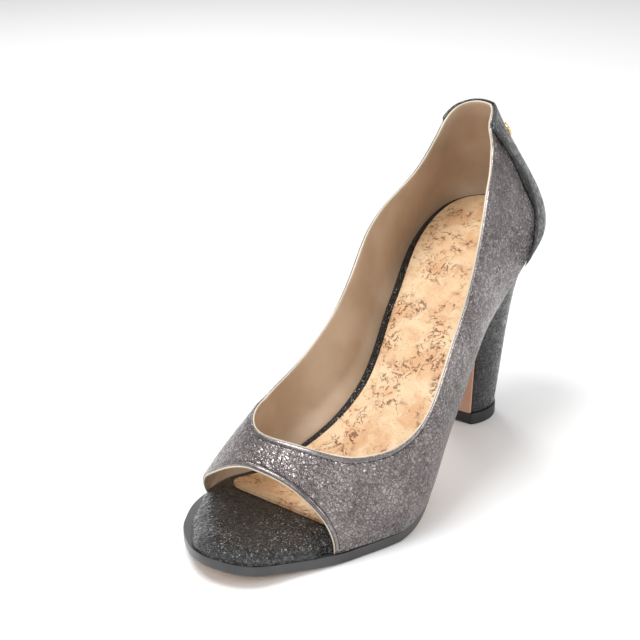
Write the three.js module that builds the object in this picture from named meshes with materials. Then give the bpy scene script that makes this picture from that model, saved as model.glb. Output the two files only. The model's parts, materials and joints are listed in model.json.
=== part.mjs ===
import * as THREE from 'three';

// A women's peep toe pump for the left foot, in millimetres.
// X runs across the shoe to its outer side, the toe points to -Y and the floor is Z = 0.
// The origin is the middle of the heel tip, where it stands on the floor.

// Driving sizes of the last
const LAST_LENGTH = 216;
const BALL_WIDTH = 79;
const SEAT_HEIGHT = 96;
const CROWN_HEIGHT = 93;
const TOE_SPRING = 6.5;
const SIDE_SWELL = 6;
const HEEL_TIP_SET = 31;

// The ridge line leans forward over the heel and back over the toe
const HEEL_LEAN = 62;
const HEEL_LEAN_REACH = 60;
const TOE_LEAN = 5;
const TOE_LEAN_REACH = 40;

// Walls, sheets and the clearance between two pieces
const FIT = 0.3;
const UPPER_WALL = 1.6;
const COUNTER_WALL = 1.2;
const OUTSOLE_THICKNESS = 4.2;
const OUTSOLE_EDGE = 1;
const OUTSOLE_ROUND = 0.8;
const FOOTBED_THICKNESS = 4.4;
const FOOTBED_ROUND = 1.6;
const TOE_RIM_THICKNESS = 6.6;
const TOE_RIM_OVERHANG = 0.6;
const TOE_RIM_ROUND = 4.2;
const TOE_RIM_BLEND = 6;
const TOE_RIM_RAMP = 25;
const CORK_THICKNESS = 1.1;
const CORK_MARGIN = 5;
const CORK_CORNER = 10;

// Heel, its front cover and its tip
const HEEL_TOP_LENGTH = 50;
const HEEL_TOP_INSET = 1;
const TIP_WIDTH = 26;
const TIP_LENGTH = 26;
const TIP_THICKNESS = 5.6;
const TIP_PROUD = 0.5;
const BREAST_THICKNESS = 1.1;

// Plaque on the back, and how far it lies under the collar
const PLAQUE_WIDTH = 13;
const PLAQUE_HEIGHT = 7;
const PLAQUE_THICKNESS = 1.1;
const PLAQUE_DROP = 9;

// Sections of the last, at is the station: 0 at the heel and 1 at the toe.
// inner, outer: feather edge across, in ball widths. rise: in seat heights, spring: in toe springs,
// both cut off at the floor below 0. crown: ridge over the feather edge, in crown heights.
const LAST_SECTIONS = [
  { at: 0.0, inner: 0.0, outer: 0.0, rise: 1.0, spring: 0.0, crown: 1.0 },
  { at: 0.1, inner: -0.23, outer: 0.225, rise: 0.985, spring: 0.0, crown: 1.0 },
  { at: 0.2, inner: -0.35, outer: 0.355, rise: 0.93, spring: 0.0, crown: 0.96 },
  { at: 0.3, inner: -0.355, outer: 0.385, rise: 0.81, spring: 0.0, crown: 0.945 },
  { at: 0.4, inner: -0.26, outer: 0.385, rise: 0.6, spring: 0.0, crown: 0.93 },
  { at: 0.5, inner: -0.2, outer: 0.455, rise: 0.295, spring: 0.0, crown: 0.89 },
  { at: 0.6, inner: -0.44, outer: 0.525, rise: 0.03, spring: 0.0, crown: 0.71 },
  { at: 0.7, inner: -0.55, outer: 0.405, rise: -0.01, spring: -0.04, crown: 0.44 },
  { at: 0.8, inner: -0.42, outer: 0.25, rise: 0.0, spring: 0.3, crown: 0.27 },
  { at: 0.9, inner: -0.22, outer: 0.135, rise: 0.0, spring: 0.75, crown: 0.15 },
  { at: 1.0, inner: -0.05, outer: -0.05, rise: 0.0, spring: 1.0, crown: 0.105 },
];

// How full the last is at each station. swell: how far the side leans out, in side swells.
// Side: height of the wall before it turns over, in crowns. Top: width of the ridge, in half widths.
const LAST_FULLNESS = [
  { at: 0.0, swell: 1.0, innerSide: 0.25, innerTop: 0.25, outerSide: 0.25, outerTop: 0.25 },
  { at: 0.1, swell: 1.6, innerSide: 0.24, innerTop: 0.2, outerSide: 0.19, outerTop: -0.35 },
  { at: 0.2, swell: 0.45, innerSide: 0.17, innerTop: 0.1, outerSide: 0.14, outerTop: -0.12 },
  { at: 0.3, swell: 0.6, innerSide: 0.28, innerTop: 0.25, outerSide: 0.21, outerTop: 0.1 },
  { at: 0.4, swell: 2.3, innerSide: 0.42, innerTop: 1.1, outerSide: 0.3, outerTop: 0.46 },
  { at: 0.5, swell: 1.8, innerSide: 0.46, innerTop: 1.45, outerSide: 0.37, outerTop: 0.46 },
  { at: 0.6, swell: 0.95, innerSide: 0.42, innerTop: 0.76, outerSide: 0.44, outerTop: 0.72 },
  { at: 0.7, swell: 0.4, innerSide: 0.28, innerTop: 0.54, outerSide: 0.44, outerTop: 0.72 },
  { at: 0.8, swell: 0.2, innerSide: 0.23, innerTop: 0.49, outerSide: 0.4, outerTop: 0.62 },
  { at: 0.9, swell: 0.2, innerSide: 0.35, innerTop: 0.55, outerSide: 0.4, outerTop: 0.58 },
  { at: 1.0, swell: 0.2, innerSide: 0.4, innerTop: 0.58, outerSide: 0.4, outerTop: 0.58 },
];

// The collar's edge, from the heel along the inner side, over the throat, and back along the outer side.
// across is -1 at the inner feather edge, 0 on the ridge and 1 at the outer feather edge.
const COLLAR_EDGE = [
  { at: 0.0, across: -0.54 },
  { at: 0.12, across: -0.535 },
  { at: 0.24, across: -0.57 },
  { at: 0.36, across: -0.63 },
  { at: 0.48, across: -0.625 },
  { at: 0.58, across: -0.605 },
  { at: 0.675, across: -0.32 },
  { at: 0.713, across: 0.0 },
  { at: 0.675, across: 0.44 },
  { at: 0.58, across: 0.625 },
  { at: 0.48, across: 0.62 },
  { at: 0.36, across: 0.495 },
  { at: 0.24, across: 0.505 },
  { at: 0.12, across: 0.53 },
  { at: 0.0, across: 0.54 },
];
const COLLAR_HEEL_ROWS = 4;

// The edge of the toe opening, from the inner feather edge to the outer one
const PEEP_EDGE = [
  { at: 0.7, across: -1.0 },
  { at: 0.72, across: -0.75 },
  { at: 0.758, across: -0.4 },
  { at: 0.768, across: 0.0 },
  { at: 0.752, across: 0.4 },
  { at: 0.735, across: 0.75 },
  { at: 0.73, across: 1.0 },
];

// Front edge of the back counter. up is 0 at the feather edge and 1 at the collar.
const COUNTER_FRONT = [
  { up: 0.0, at: 0.28 },
  { up: 0.2, at: 0.24 },
  { up: 0.4, at: 0.195 },
  { up: 0.6, at: 0.165 },
  { up: 0.85, at: 0.155 },
  { up: 1.0, at: 0.15 },
];

// How far the outsole's edge stands out from the feather edge, in outsole edges
const OUTSOLE_OUTLINE = [
  { at: 0.25, out: -1.5 },
  { at: 0.45, out: -2.5 },
  { at: 0.62, out: -0.4 },
  { at: 0.75, out: 0.6 },
  { at: 0.88, out: 1.0 },
  { at: 1.0, out: 1.0 },
];

// Stations where the slanted front edge of the cork sock meets the inner and the outer side
const CORK_FRONT = { inner: 0.68, outer: 0.72 };

// Rings of the plaque from its back to its front: size of the oval, and height in plaque thicknesses
const PLAQUE_RINGS = [
  { size: 0.0, thick: 0.0 },
  { size: 0.5, thick: 0.0 },
  { size: 1.0, thick: 0.0 },
  { size: 1.0, thick: 0.6 },
  { size: 0.85, thick: 1.0 },
  { size: 0.4, thick: 1.0 },
  { size: 0.0, thick: 1.0 },
];

// Heel shape: how much of its flare comes only near the seat, at the back and at the front corners, how late
// that is, and how many radians of the tip's oval the straight front leaves before its widest place
const HEEL_CURVE = 0.45;
const HEEL_CORNER_CURVE = 0.85;
const HEEL_FLARE = 5;
const TIP_TUCK = 0.75;

const PEWTER = new THREE.MeshStandardMaterial({ color: 0x7d777b, roughness: 0.45, metalness: 0.55 });
const BLACK_LEATHER = new THREE.MeshStandardMaterial({ color: 0x2b2a2b, roughness: 0.5, metalness: 0.15 });
const SOLE_LEATHER = new THREE.MeshStandardMaterial({ color: 0x2a2624, roughness: 0.55, metalness: 0 });
const TAN_LEATHER = new THREE.MeshStandardMaterial({ color: 0xb48562, roughness: 0.6, metalness: 0 });
const CORK = new THREE.MeshStandardMaterial({ color: 0xd9a06b, roughness: 0.75, metalness: 0 });
const RUBBER = new THREE.MeshStandardMaterial({ color: 0x1b1b1c, roughness: 0.7, metalness: 0 });
const GILT = new THREE.MeshStandardMaterial({ color: 0xc9a24e, roughness: 0.3, metalness: 0.9 });

// A smooth curve through the rows of a table: the value of one column against another
function columnCurve(rows, key, column) {
  const at = rows.map((row, index) => (key === 'order' ? index / (rows.length - 1) : row[key]));
  const value = rows.map((row) => row[column]);
  const end = rows.length - 1;
  const slope = (i) => (value[i + 1] - value[i]) / (at[i + 1] - at[i]);
  const tangent = new Array(end + 1);
  for (let i = 1; i < end; i += 1) {
    const before = at[i] - at[i - 1];
    const after = at[i + 1] - at[i];
    tangent[i] = (slope(i - 1) * after + slope(i) * before) / (before + after);
  }
  tangent[0] = 2 * slope(0) - tangent[1];
  tangent[end] = 2 * slope(end - 1) - tangent[end - 1];
  return (x) => {
    let i = 0;
    while (i < end - 1 && x > at[i + 1]) i += 1;
    const step = at[i + 1] - at[i];
    const u = (x - at[i]) / step;
    const rise = 3 * u * u - 2 * u * u * u;
    const leave = u * u * u - 2 * u * u + u;
    const arrive = u * u * u - u * u;
    return value[i] + (value[i + 1] - value[i]) * rise + step * (leave * tangent[i] + arrive * tangent[i + 1]);
  };
}

const { lerp: mix, clamp } = THREE.MathUtils;
const smooth = (x) => THREE.MathUtils.smoothstep(x, 0, 1);

const LAST = {};
for (const table of [LAST_SECTIONS, LAST_FULLNESS]) {
  for (const column of Object.keys(table[0])) LAST[column] = columnCurve(table, 'at', column);
}

// Station and plan length from the heel: stations crowd together at both round ends
const lengthOf = (at) => (LAST_LENGTH * (1 - Math.cos(Math.PI * at))) / 2;
const stationOf = (length) => Math.acos(clamp(1 - (2 * length) / LAST_LENGTH, -1, 1)) / Math.PI;

// The outsole's top lies FIT under the feather edge, and its underside is on the floor at the ball
const BALL_FEATHER = OUTSOLE_THICKNESS + FIT;

function featherHeight(at) {
  const rise = Math.max(LAST.rise(at), 0) * (SEAT_HEIGHT - BALL_FEATHER);
  return BALL_FEATHER + rise + Math.max(LAST.spring(at), 0) * TOE_SPRING;
}

// Plan point of the feather edge as (across, length). side is -1 for the inner edge and 1 for the outer.
function featherPlan(at, side) {
  const share = side < 0 ? LAST.inner(at) : LAST.outer(at);
  return new THREE.Vector2(share * BALL_WIDTH, lengthOf(at));
}

const STEP = 0.002;

// Outwards in plan. Both edges meet at the heel and at the toe, where outwards is straight back or ahead.
function featherNormal(at, side) {
  if (at <= 0) return new THREE.Vector2(0, -1);
  if (at >= 1) return new THREE.Vector2(0, 1);
  const from = featherPlan(Math.max(at - STEP, 0), side);
  const to = featherPlan(Math.min(at + STEP, 1), side);
  const along = to.sub(from);
  return new THREE.Vector2(along.y, -along.x).multiplyScalar(side).normalize();
}

// Feather edge moved inwards in plan
function insetPlan(at, side, inset) {
  return featherPlan(at, side).addScaledVector(featherNormal(at, side), -inset);
}

const place = (plan, height) => new THREE.Vector3(plan.x, HEEL_TIP_SET - plan.y, height);

// Point on the last. across is -1 at the inner feather edge, 0 on the ridge and 1 at the outer one.
function lastPoint(at, across) {
  const side = across < 0 ? -1 : 1;
  const foot = featherPlan(at, side);
  const height = featherHeight(at);
  const crown = LAST.crown(at) * CROWN_HEIGHT;
  const sideFull = side < 0 ? LAST.innerSide(at) : LAST.outerSide(at);
  const topFull = side < 0 ? LAST.innerTop(at) : LAST.outerTop(at);
  const heelLean = HEEL_LEAN * (1 - smooth(foot.y / HEEL_LEAN_REACH));
  const toeLean = TOE_LEAN * smooth((foot.y - LAST_LENGTH + TOE_LEAN_REACH) / TOE_LEAN_REACH);
  const middle = ((LAST.inner(at) + LAST.outer(at)) / 2) * BALL_WIDTH;
  const ridge = new THREE.Vector2(middle, foot.y + heelLean - toeLean);
  const swollen = foot.clone().addScaledVector(featherNormal(at, side), LAST.swell(at) * SIDE_SWELL);
  const shoulder = ridge.clone().lerp(foot, topFull);
  const curve = new THREE.CubicBezierCurve3(
    place(foot, height),
    place(swollen, height + sideFull * crown),
    place(shoulder, height + crown),
    place(ridge, height + crown)
  );
  return curve.getPoint(1 - Math.abs(across));
}

function lastNormal(at, across) {
  const low = across < 0 ? -1 : 0;
  const high = across < 0 ? 0 : 1;
  const toToe = lastPoint(Math.min(at + STEP, 1), across).sub(lastPoint(Math.max(at - STEP, 0), across));
  const from = lastPoint(at, Math.max(across - STEP, low));
  const toOuter = lastPoint(at, Math.min(across + STEP, high - (across < 0 ? STEP / 4 : 0))).sub(from);
  return toToe.cross(toOuter).normalize();
}

// Point off the last: outwards where distance is above 0
const skin = (at, across, distance) => lastPoint(at, across).addScaledVector(lastNormal(at, across), distance);

// Joins rings of points, one after another, into one closed solid. Points that coincide become one vertex.
// A ring that shrinks to a line or a point closes its end by itself, and `capped` closes open ends.
function loft(rings, { looped = false, capped = false } = {}) {
  const vertices = [];
  const order = new Map();
  const vertex = (point) => {
    const key = point.toArray().map((value) => Math.round(value * 500)).join();
    if (!order.has(key)) {
      order.set(key, vertices.length / 3);
      vertices.push(...point.toArray());
    }
    return order.get(key);
  };
  const rows = rings.map((ring) => ring.map(vertex));
  const faces = [];
  const face = (a, b, c) => {
    if (a !== b && b !== c && c !== a) faces.push([a, b, c]);
  };
  const width = rows[0].length;
  const spans = looped ? rows.length : rows.length - 1;
  for (let i = 0; i < spans; i += 1) {
    const row = rows[i];
    const next = rows[(i + 1) % rows.length];
    for (let k = 0; k < width; k += 1) {
      const m = (k + 1) % width;
      face(row[k], next[k], next[m]);
      face(row[k], next[m], row[m]);
    }
  }
  if (capped) {
    // Each cap is a strip between the first and the second half of its ring
    for (const [row, turned] of [[rows[0], false], [rows[rows.length - 1], true]]) {
      for (let k = 0; k < width / 2 - 1; k += 1) {
        const quad = [row[k], row[k + 1], row[width - 2 - k], row[width - 1 - k]];
        if (turned) quad.reverse();
        face(quad[0], quad[1], quad[2]);
        face(quad[0], quad[2], quad[3]);
      }
    }
  }
  if (signedVolume(vertices, faces) < 0) faces.forEach((corners) => corners.reverse());
  const geometry = new THREE.BufferGeometry();
  geometry.setAttribute('position', new THREE.Float32BufferAttribute(vertices, 3));
  geometry.setIndex(faces.flat());
  geometry.computeVertexNormals();
  return geometry;
}

function signedVolume(vertices, faces) {
  const corner = (index) => new THREE.Vector3().fromArray(vertices, index * 3);
  return faces.reduce((sum, [a, b, c]) => sum + corner(a).dot(corner(b).cross(corner(c))) / 6, 0);
}

const range = (count) => Array.from({ length: count + 1 }, (_, index) => index / count);

// Upper

const COLLAR = {
  at: columnCurve(COLLAR_EDGE, 'order', 'at'),
  across: columnCurve(COLLAR_EDGE, 'order', 'across'),
};
const PEEP = {
  at: columnCurve(PEEP_EDGE, 'order', 'at'),
  across: columnCurve(PEEP_EDGE, 'order', 'across'),
};
const PEEP_FROM = 0.4;
const PEEP_TO = 0.6;
const UPPER_STEPS = { around: 120, up: 9 };

// Lower edge of the upper, once round: inner feather edge, toe opening, outer feather edge
function lowerEdge(around) {
  if (around < PEEP_FROM) return [PEEP.at(0) * (around / PEEP_FROM), -1];
  if (around > PEEP_TO) return [PEEP.at(1) * ((1 - around) / (1 - PEEP_TO)), 1];
  const share = (around - PEEP_FROM) / (PEEP_TO - PEEP_FROM);
  return [PEEP.at(share), PEEP.across(share)];
}

function upperPoint(around, up, distance) {
  const [lowAt, lowAcross] = lowerEdge(around);
  const at = mix(lowAt, COLLAR.at(around), up);
  const across = mix(lowAcross, COLLAR.across(around), up);
  return skin(at, across, distance);
}

function makeUpper() {
  const ups = range(UPPER_STEPS.up);
  const rings = range(UPPER_STEPS.around).slice(0, -1).map((around) => [
    ...ups.map((up) => upperPoint(around, up, 0)),
    ...ups.toReversed().map((up) => upperPoint(around, up, -UPPER_WALL)),
  ]);
  return loft(rings, { looped: true });
}

// Back counter: a leaf over the upper's outside, from the feather edge to the collar

const COUNTER_AT = columnCurve(COUNTER_FRONT, 'up', 'at');
const COUNTER_STEPS = { around: 26, up: 8 };

// Point on the back of the upper: up is 0 at the feather edge and 1 at the collar
function backPoint(at, side, up, distance) {
  const rowShare = COLLAR_HEEL_ROWS / (COLLAR_EDGE.length - 1);
  const around = (rowShare * at) / COLLAR_EDGE[COLLAR_HEEL_ROWS].at;
  const collar = COLLAR.across(side < 0 ? around : 1 - around);
  return skin(at, mix(side, collar, up), distance);
}

// share runs from -1 at the counter's inner front edge to 1 at its outer one
const counterPoint = (share, up, distance) => (
  backPoint(COUNTER_AT(up) * Math.abs(share), share < 0 ? -1 : 1, up, distance)
);

function makeCounter() {
  const ups = range(COUNTER_STEPS.up);
  const rings = range(COUNTER_STEPS.around).map((step) => [
    ...ups.map((up) => counterPoint(step * 2 - 1, up, FIT + COUNTER_WALL)),
    ...ups.toReversed().map((up) => counterPoint(step * 2 - 1, up, FIT)),
  ]);
  return loft(rings, { capped: true });
}

// Flat layers under the foot. Each ring is one cross section: underside, one side, top, other side.

const LAYER_STEPS = 48;
const ACROSS_STEPS = 5;
const ROUND_STEPS = 2;

// A quarter round at an edge as shares of its radius: how far in and how far down
const quarterRound = range(ROUND_STEPS).map((share) => ({
  inward: 1 - Math.cos((share * Math.PI) / 2),
  down: 1 - Math.sin((share * Math.PI) / 2),
}));

function layerRing({ innerAt, outerAt, inset, bottom, top, roundTop = () => 0, roundBottom = () => 0 }) {
  const edge = (side, more, height) => {
    const at = side < 0 ? innerAt : outerAt;
    const plan = insetPlan(at, side, inset(at, side) + more);
    return place(plan, height(stationOf(plan.y)));
  };
  const rounded = (side, round, height, sign) => quarterRound.map(({ inward, down }) => {
    const radius = round(side < 0 ? innerAt : outerAt);
    const point = edge(side, inward * radius, height);
    point.z -= sign * down * radius;
    return point;
  });
  const innerLow = rounded(-1, roundBottom, bottom, -1);
  const outerLow = rounded(1, roundBottom, bottom, -1);
  const innerHigh = rounded(-1, roundTop, top, 1);
  const outerHigh = rounded(1, roundTop, top, 1);
  const between = (from, to) => range(ACROSS_STEPS).slice(1, -1).map((share) => from.clone().lerp(to, share));
  const low = [...innerLow, ...between(innerLow.at(-1), outerLow.at(-1)), ...outerLow.toReversed()];
  const high = [...innerHigh, ...between(innerHigh.at(-1), outerHigh.at(-1)), ...outerHigh.toReversed()];
  return [...low, ...high.toReversed()];
}

function makeLayer({ from, to, steps = LAYER_STEPS, ...section }) {
  const capped = from > 0 || to < 1;
  const rings = range(steps).map((share) => {
    const at = mix(from, to, share);
    return layerRing({ innerAt: at, outerAt: at, ...section });
  });
  return loft(rings, { capped });
}

// Footbed: inside the upper's wall, and wide and thick where it shows at the open toe

const INSIDE_WALL = UPPER_WALL + FIT;
const peepRows = (side) => PEEP_EDGE.filter((row) => row.across * side > 0.5);
const RIM_START = {
  inner: lengthOf(Math.max(...peepRows(-1).map((row) => row.at))) + UPPER_WALL,
  outer: lengthOf(Math.max(...peepRows(1).map((row) => row.at))) + UPPER_WALL,
};

function footbedInset(at, side) {
  const start = side < 0 ? RIM_START.inner : RIM_START.outer;
  return mix(INSIDE_WALL, -TOE_RIM_OVERHANG, smooth((lengthOf(at) - start) / TOE_RIM_BLEND));
}

const rimShare = (at) => smooth((lengthOf(at) - RIM_START.inner + TOE_RIM_RAMP) / TOE_RIM_RAMP);
const footbedTop = (at) => featherHeight(at) + mix(FOOTBED_THICKNESS, TOE_RIM_THICKNESS, rimShare(at));

const makeFootbed = () => makeLayer({
  from: 0,
  to: 1,
  inset: footbedInset,
  bottom: featherHeight,
  top: footbedTop,
  roundTop: (at) => mix(FOOTBED_ROUND, TOE_RIM_ROUND, rimShare(at)),
});

// Cork sock: on the footbed, with a margin, its front edge cut on the slant with round corners

function corkInset(at, side) {
  const end = lengthOf(side < 0 ? CORK_FRONT.inner : CORK_FRONT.outer);
  const past = clamp((lengthOf(at) - end + CORK_CORNER) / CORK_CORNER, 0, 1);
  return INSIDE_WALL + CORK_MARGIN + CORK_CORNER * (1 - Math.sqrt(1 - past * past));
}

function makeCorkSock() {
  const rings = range(LAYER_STEPS).map((share) => layerRing({
    innerAt: CORK_FRONT.inner * share,
    outerAt: CORK_FRONT.outer * share,
    inset: corkInset,
    bottom: (at) => footbedTop(at) + FIT,
    top: (at) => footbedTop(at) + FIT + CORK_THICKNESS,
  }));
  return loft(rings, { capped: true });
}

// Heel: rings from its tip to the seat, each a straight front and a round back

const HEEL_STEPS = { up: 11, seat: 3, around: 24, front: 4 };
const HEEL_TOP_AT = stationOf(HEEL_TOP_LENGTH);
const HEEL_FOOT = TIP_THICKNESS + FIT;

// Outline of the tip: an oval with a straight front, from its outer front corner to its inner one
function tipOutline(share, proud = 0) {
  const turn = mix(-TIP_TUCK, Math.PI + TIP_TUCK, share);
  const front = Math.sin(-TIP_TUCK);
  const behind = (Math.sin(turn) - front) / (1 - front) - 0.5;
  return new THREE.Vector2((TIP_WIDTH / 2 + proud) * Math.cos(turn), (TIP_LENGTH + 2 * proud) * behind);
}

function heelTopOutline(share) {
  const at = HEEL_TOP_AT * Math.abs(1 - 2 * share);
  const plan = insetPlan(at, share < 0.5 ? 1 : -1, HEEL_TOP_INSET);
  return place(plan, featherHeight(stationOf(plan.y)) - FIT);
}

// A point on the heel's side: share runs round the back, up runs from the tip to the seat
function heelPoint(share, up) {
  const low = tipOutline(share);
  const high = heelTopOutline(share);
  const late = mix(HEEL_CURVE, HEEL_CORNER_CURVE, (1 - 2 * share) ** 4);
  const flare = mix(up, up ** HEEL_FLARE, late);
  return new THREE.Vector3(mix(low.x, high.x, flare), mix(low.y, high.y, flare), mix(HEEL_FOOT, high.z, up));
}

// Across the heel's front face, from its inner to its outer corner
function heelFront(share, up, forward = 0) {
  const point = heelPoint(1, up).lerp(heelPoint(0, up), share);
  point.y -= forward;
  return point;
}

const HEEL_FRONT_LENGTH = HEEL_TIP_SET - Math.min(heelFront(0, 1).y, heelFront(1, 1).y);

// The front cover ends under the outsole, so the heel has a ring at that height
const BREAST_TOP = (() => {
  const front = stationOf(HEEL_FRONT_LENGTH + FIT + BREAST_THICKNESS);
  const ceiling = featherHeight(front) - FIT - OUTSOLE_THICKNESS - FIT;
  return (ceiling - HEEL_FOOT) / (heelFront(0, 1).z - HEEL_FOOT);
})();
const BREAST_UPS = range(HEEL_STEPS.up).map((step) => step * BREAST_TOP);
const SEAT_UPS = range(HEEL_STEPS.seat).slice(1).map((step) => mix(BREAST_TOP, 1, step));

function makeHeel() {
  const round = range(HEEL_STEPS.around);
  const rings = [...BREAST_UPS, ...SEAT_UPS].map((up) => round.map((share) => heelPoint(share, up)));
  return loft(rings, { capped: true });
}

// Tan cover on the heel's front, up to the underside of the outsole
function makeHeelBreast() {
  const shares = range(HEEL_STEPS.front);
  const rings = BREAST_UPS.map((up) => [
    ...shares.map((share) => heelFront(share, up, FIT)),
    ...shares.toReversed().map((share) => heelFront(share, up, FIT + BREAST_THICKNESS)),
  ]);
  return loft(rings, { capped: true });
}

function makeTopLift() {
  const rings = [0, TIP_THICKNESS].map((height) => range(HEEL_STEPS.around).map((share) => {
    const outline = tipOutline(share, TIP_PROUD);
    return new THREE.Vector3(outline.x, outline.y, height);
  }));
  return loft(rings, { capped: true });
}

// Outsole: from the heel's front to the toe, in under the arch and out at the toe

const OUTSOLE_OUT = columnCurve(OUTSOLE_OUTLINE, 'at', 'out');
const outsoleInset = (at) => -OUTSOLE_OUT(at) * OUTSOLE_EDGE;
const outsoleTop = (at) => featherHeight(at) - FIT;

// First station whose cross section lies clear of the heel's front
function outsoleStart() {
  const length = HEEL_FRONT_LENGTH + FIT;
  const at = stationOf(length);
  const back = Math.min(...[-1, 1].map((side) => insetPlan(at, side, outsoleInset(at)).y));
  return stationOf(2 * length - back);
}

const makeOutsole = () => makeLayer({
  from: outsoleStart(),
  to: 1,
  inset: outsoleInset,
  bottom: (at) => outsoleTop(at) - OUTSOLE_THICKNESS,
  top: outsoleTop,
  roundBottom: () => OUTSOLE_ROUND,
});

// Plaque: a pillow-edged oval that follows the counter at the middle of the back

const PLAQUE_STEPS = 28;
const PLAQUE_TRIAL = 0.05;

function makeBackPlaque() {
  const rest = 2 * FIT + COUNTER_WALL;
  const run = backPoint(0, 1, 1, 0).distanceTo(backPoint(0, 1, 0, 0));
  const middle = 1 - (PLAQUE_DROP + PLAQUE_HEIGHT / 2) / run;
  const stationPerWidth = PLAQUE_TRIAL / backPoint(PLAQUE_TRIAL, 1, middle, rest).x;
  const oval = (size, distance) => range(PLAQUE_STEPS).slice(0, -1).map((share) => {
    const x = (size * Math.cos(2 * Math.PI * share) * PLAQUE_WIDTH) / 2;
    const z = (size * Math.sin(2 * Math.PI * share) * PLAQUE_HEIGHT) / 2;
    return backPoint(Math.abs(x) * stationPerWidth, Math.sign(x) || 1, middle + z / run, rest + distance);
  });
  const rings = PLAQUE_RINGS.map(({ size, thick }) => oval(size, thick * PLAQUE_THICKNESS));
  return loft(rings);
}

function mesh(name, geometry, material) {
  const piece = new THREE.Mesh(geometry, material);
  piece.name = name;
  return piece;
}

const group = new THREE.Group();
group.add(
  mesh('upper', makeUpper(), PEWTER),
  mesh('back_counter', makeCounter(), BLACK_LEATHER),
  mesh('back_plaque', makeBackPlaque(), GILT),
  mesh('footbed', makeFootbed(), BLACK_LEATHER),
  mesh('cork_sock', makeCorkSock(), CORK),
  mesh('outsole', makeOutsole(), SOLE_LEATHER),
  mesh('heel', makeHeel(), BLACK_LEATHER),
  mesh('heel_breast', makeHeelBreast(), TAN_LEATHER),
  mesh('top_lift', makeTopLift(), RUBBER)
);

export default group;
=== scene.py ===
"""A left peep toe pump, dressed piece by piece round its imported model.

The tables and sizes are in millimetres, as a last maker gives them, and meshes are written in metres.
"""

import json
import logging
import math
from collections.abc import Callable
from dataclasses import dataclass, field, replace
from enum import Enum

import bpy
import numpy as np
from mathutils import Matrix, Vector, noise

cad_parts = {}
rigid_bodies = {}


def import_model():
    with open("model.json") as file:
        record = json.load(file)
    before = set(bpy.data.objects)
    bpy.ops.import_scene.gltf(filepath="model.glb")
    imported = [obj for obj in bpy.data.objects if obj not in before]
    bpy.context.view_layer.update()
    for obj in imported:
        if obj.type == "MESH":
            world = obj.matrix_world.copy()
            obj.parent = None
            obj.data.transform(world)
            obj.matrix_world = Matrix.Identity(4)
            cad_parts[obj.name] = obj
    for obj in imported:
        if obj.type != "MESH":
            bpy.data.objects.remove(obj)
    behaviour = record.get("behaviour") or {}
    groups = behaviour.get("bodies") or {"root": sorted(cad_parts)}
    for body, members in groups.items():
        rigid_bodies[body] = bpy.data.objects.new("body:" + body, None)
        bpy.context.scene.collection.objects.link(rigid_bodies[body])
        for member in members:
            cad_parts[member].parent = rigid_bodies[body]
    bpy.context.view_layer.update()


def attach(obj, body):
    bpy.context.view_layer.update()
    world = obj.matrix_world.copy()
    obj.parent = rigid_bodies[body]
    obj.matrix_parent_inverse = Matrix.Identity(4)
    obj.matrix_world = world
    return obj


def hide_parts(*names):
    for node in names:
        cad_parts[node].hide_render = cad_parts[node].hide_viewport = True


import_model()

MM = 0.001
Array = np.ndarray
Colour = tuple[float, float, float]
Place = tuple[float, float, float]
ByStation = Callable[[Array], Array]
LOG = logging.getLogger("pump")


# Curves and the last


class Curve:
    """A smooth curve through the rows of a table."""

    def __init__(self, at: Array, value: Array) -> None:
        """Fits the slopes.

        Args:
            at: where each row stands, growing.
            value: the row's value there.
        """
        self.at = np.asarray(at, float)
        self.value = np.asarray(value, float)
        self.step = np.diff(self.at)
        slope = np.diff(self.value) / self.step
        self.tangent = np.empty_like(self.value)
        inner = slope[:-1] * self.step[1:] + slope[1:] * self.step[:-1]
        self.tangent[1:-1] = inner / (self.step[:-1] + self.step[1:])
        self.tangent[0] = 2 * slope[0] - self.tangent[1]
        self.tangent[-1] = 2 * slope[-1] - self.tangent[-2]

    def __call__(self, x: Array) -> Array:
        """Returns the curve's value at x."""
        x = np.asarray(x, float)
        i = np.clip(np.searchsorted(self.at, x, side="left") - 1, 0, len(self.step) - 1)
        u = (x - self.at[i]) / self.step[i]
        rise = 3 * u**2 - 2 * u**3
        leave = (u**3 - 2 * u**2 + u) * self.tangent[i]
        arrive = (u**3 - u**2) * self.tangent[i + 1]
        return self.value[i] + (self.value[i + 1] - self.value[i]) * rise + self.step[i] * (leave + arrive)


def row_curves(rows: tuple, names: str, by_order: bool = False) -> dict[str, Curve]:
    """Makes one curve for each column of a table.

    Args:
        rows: the table's rows, the first column being the place of each.
        names: the columns' names, parted by spaces.
        by_order: space the rows evenly, and make a curve of the first column too.

    Returns:
        The curves by column name.
    """
    columns = dict(zip(names.split(), np.array(rows).T))
    first = names.split()[0]
    at = np.linspace(0, 1, len(rows)) if by_order else columns[first]
    return {name: Curve(at, value) for name, value in columns.items() if by_order or name != first}


def smooth(x: Array) -> Array:
    """Returns a soft step from 0 to 1."""
    x = np.clip(x, 0, 1)
    return x * x * (3 - 2 * x)


def mix(a: Array, b: Array, share: Array) -> Array:
    """Returns the value that lies at share between a and b."""
    return a + (b - a) * share


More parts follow.
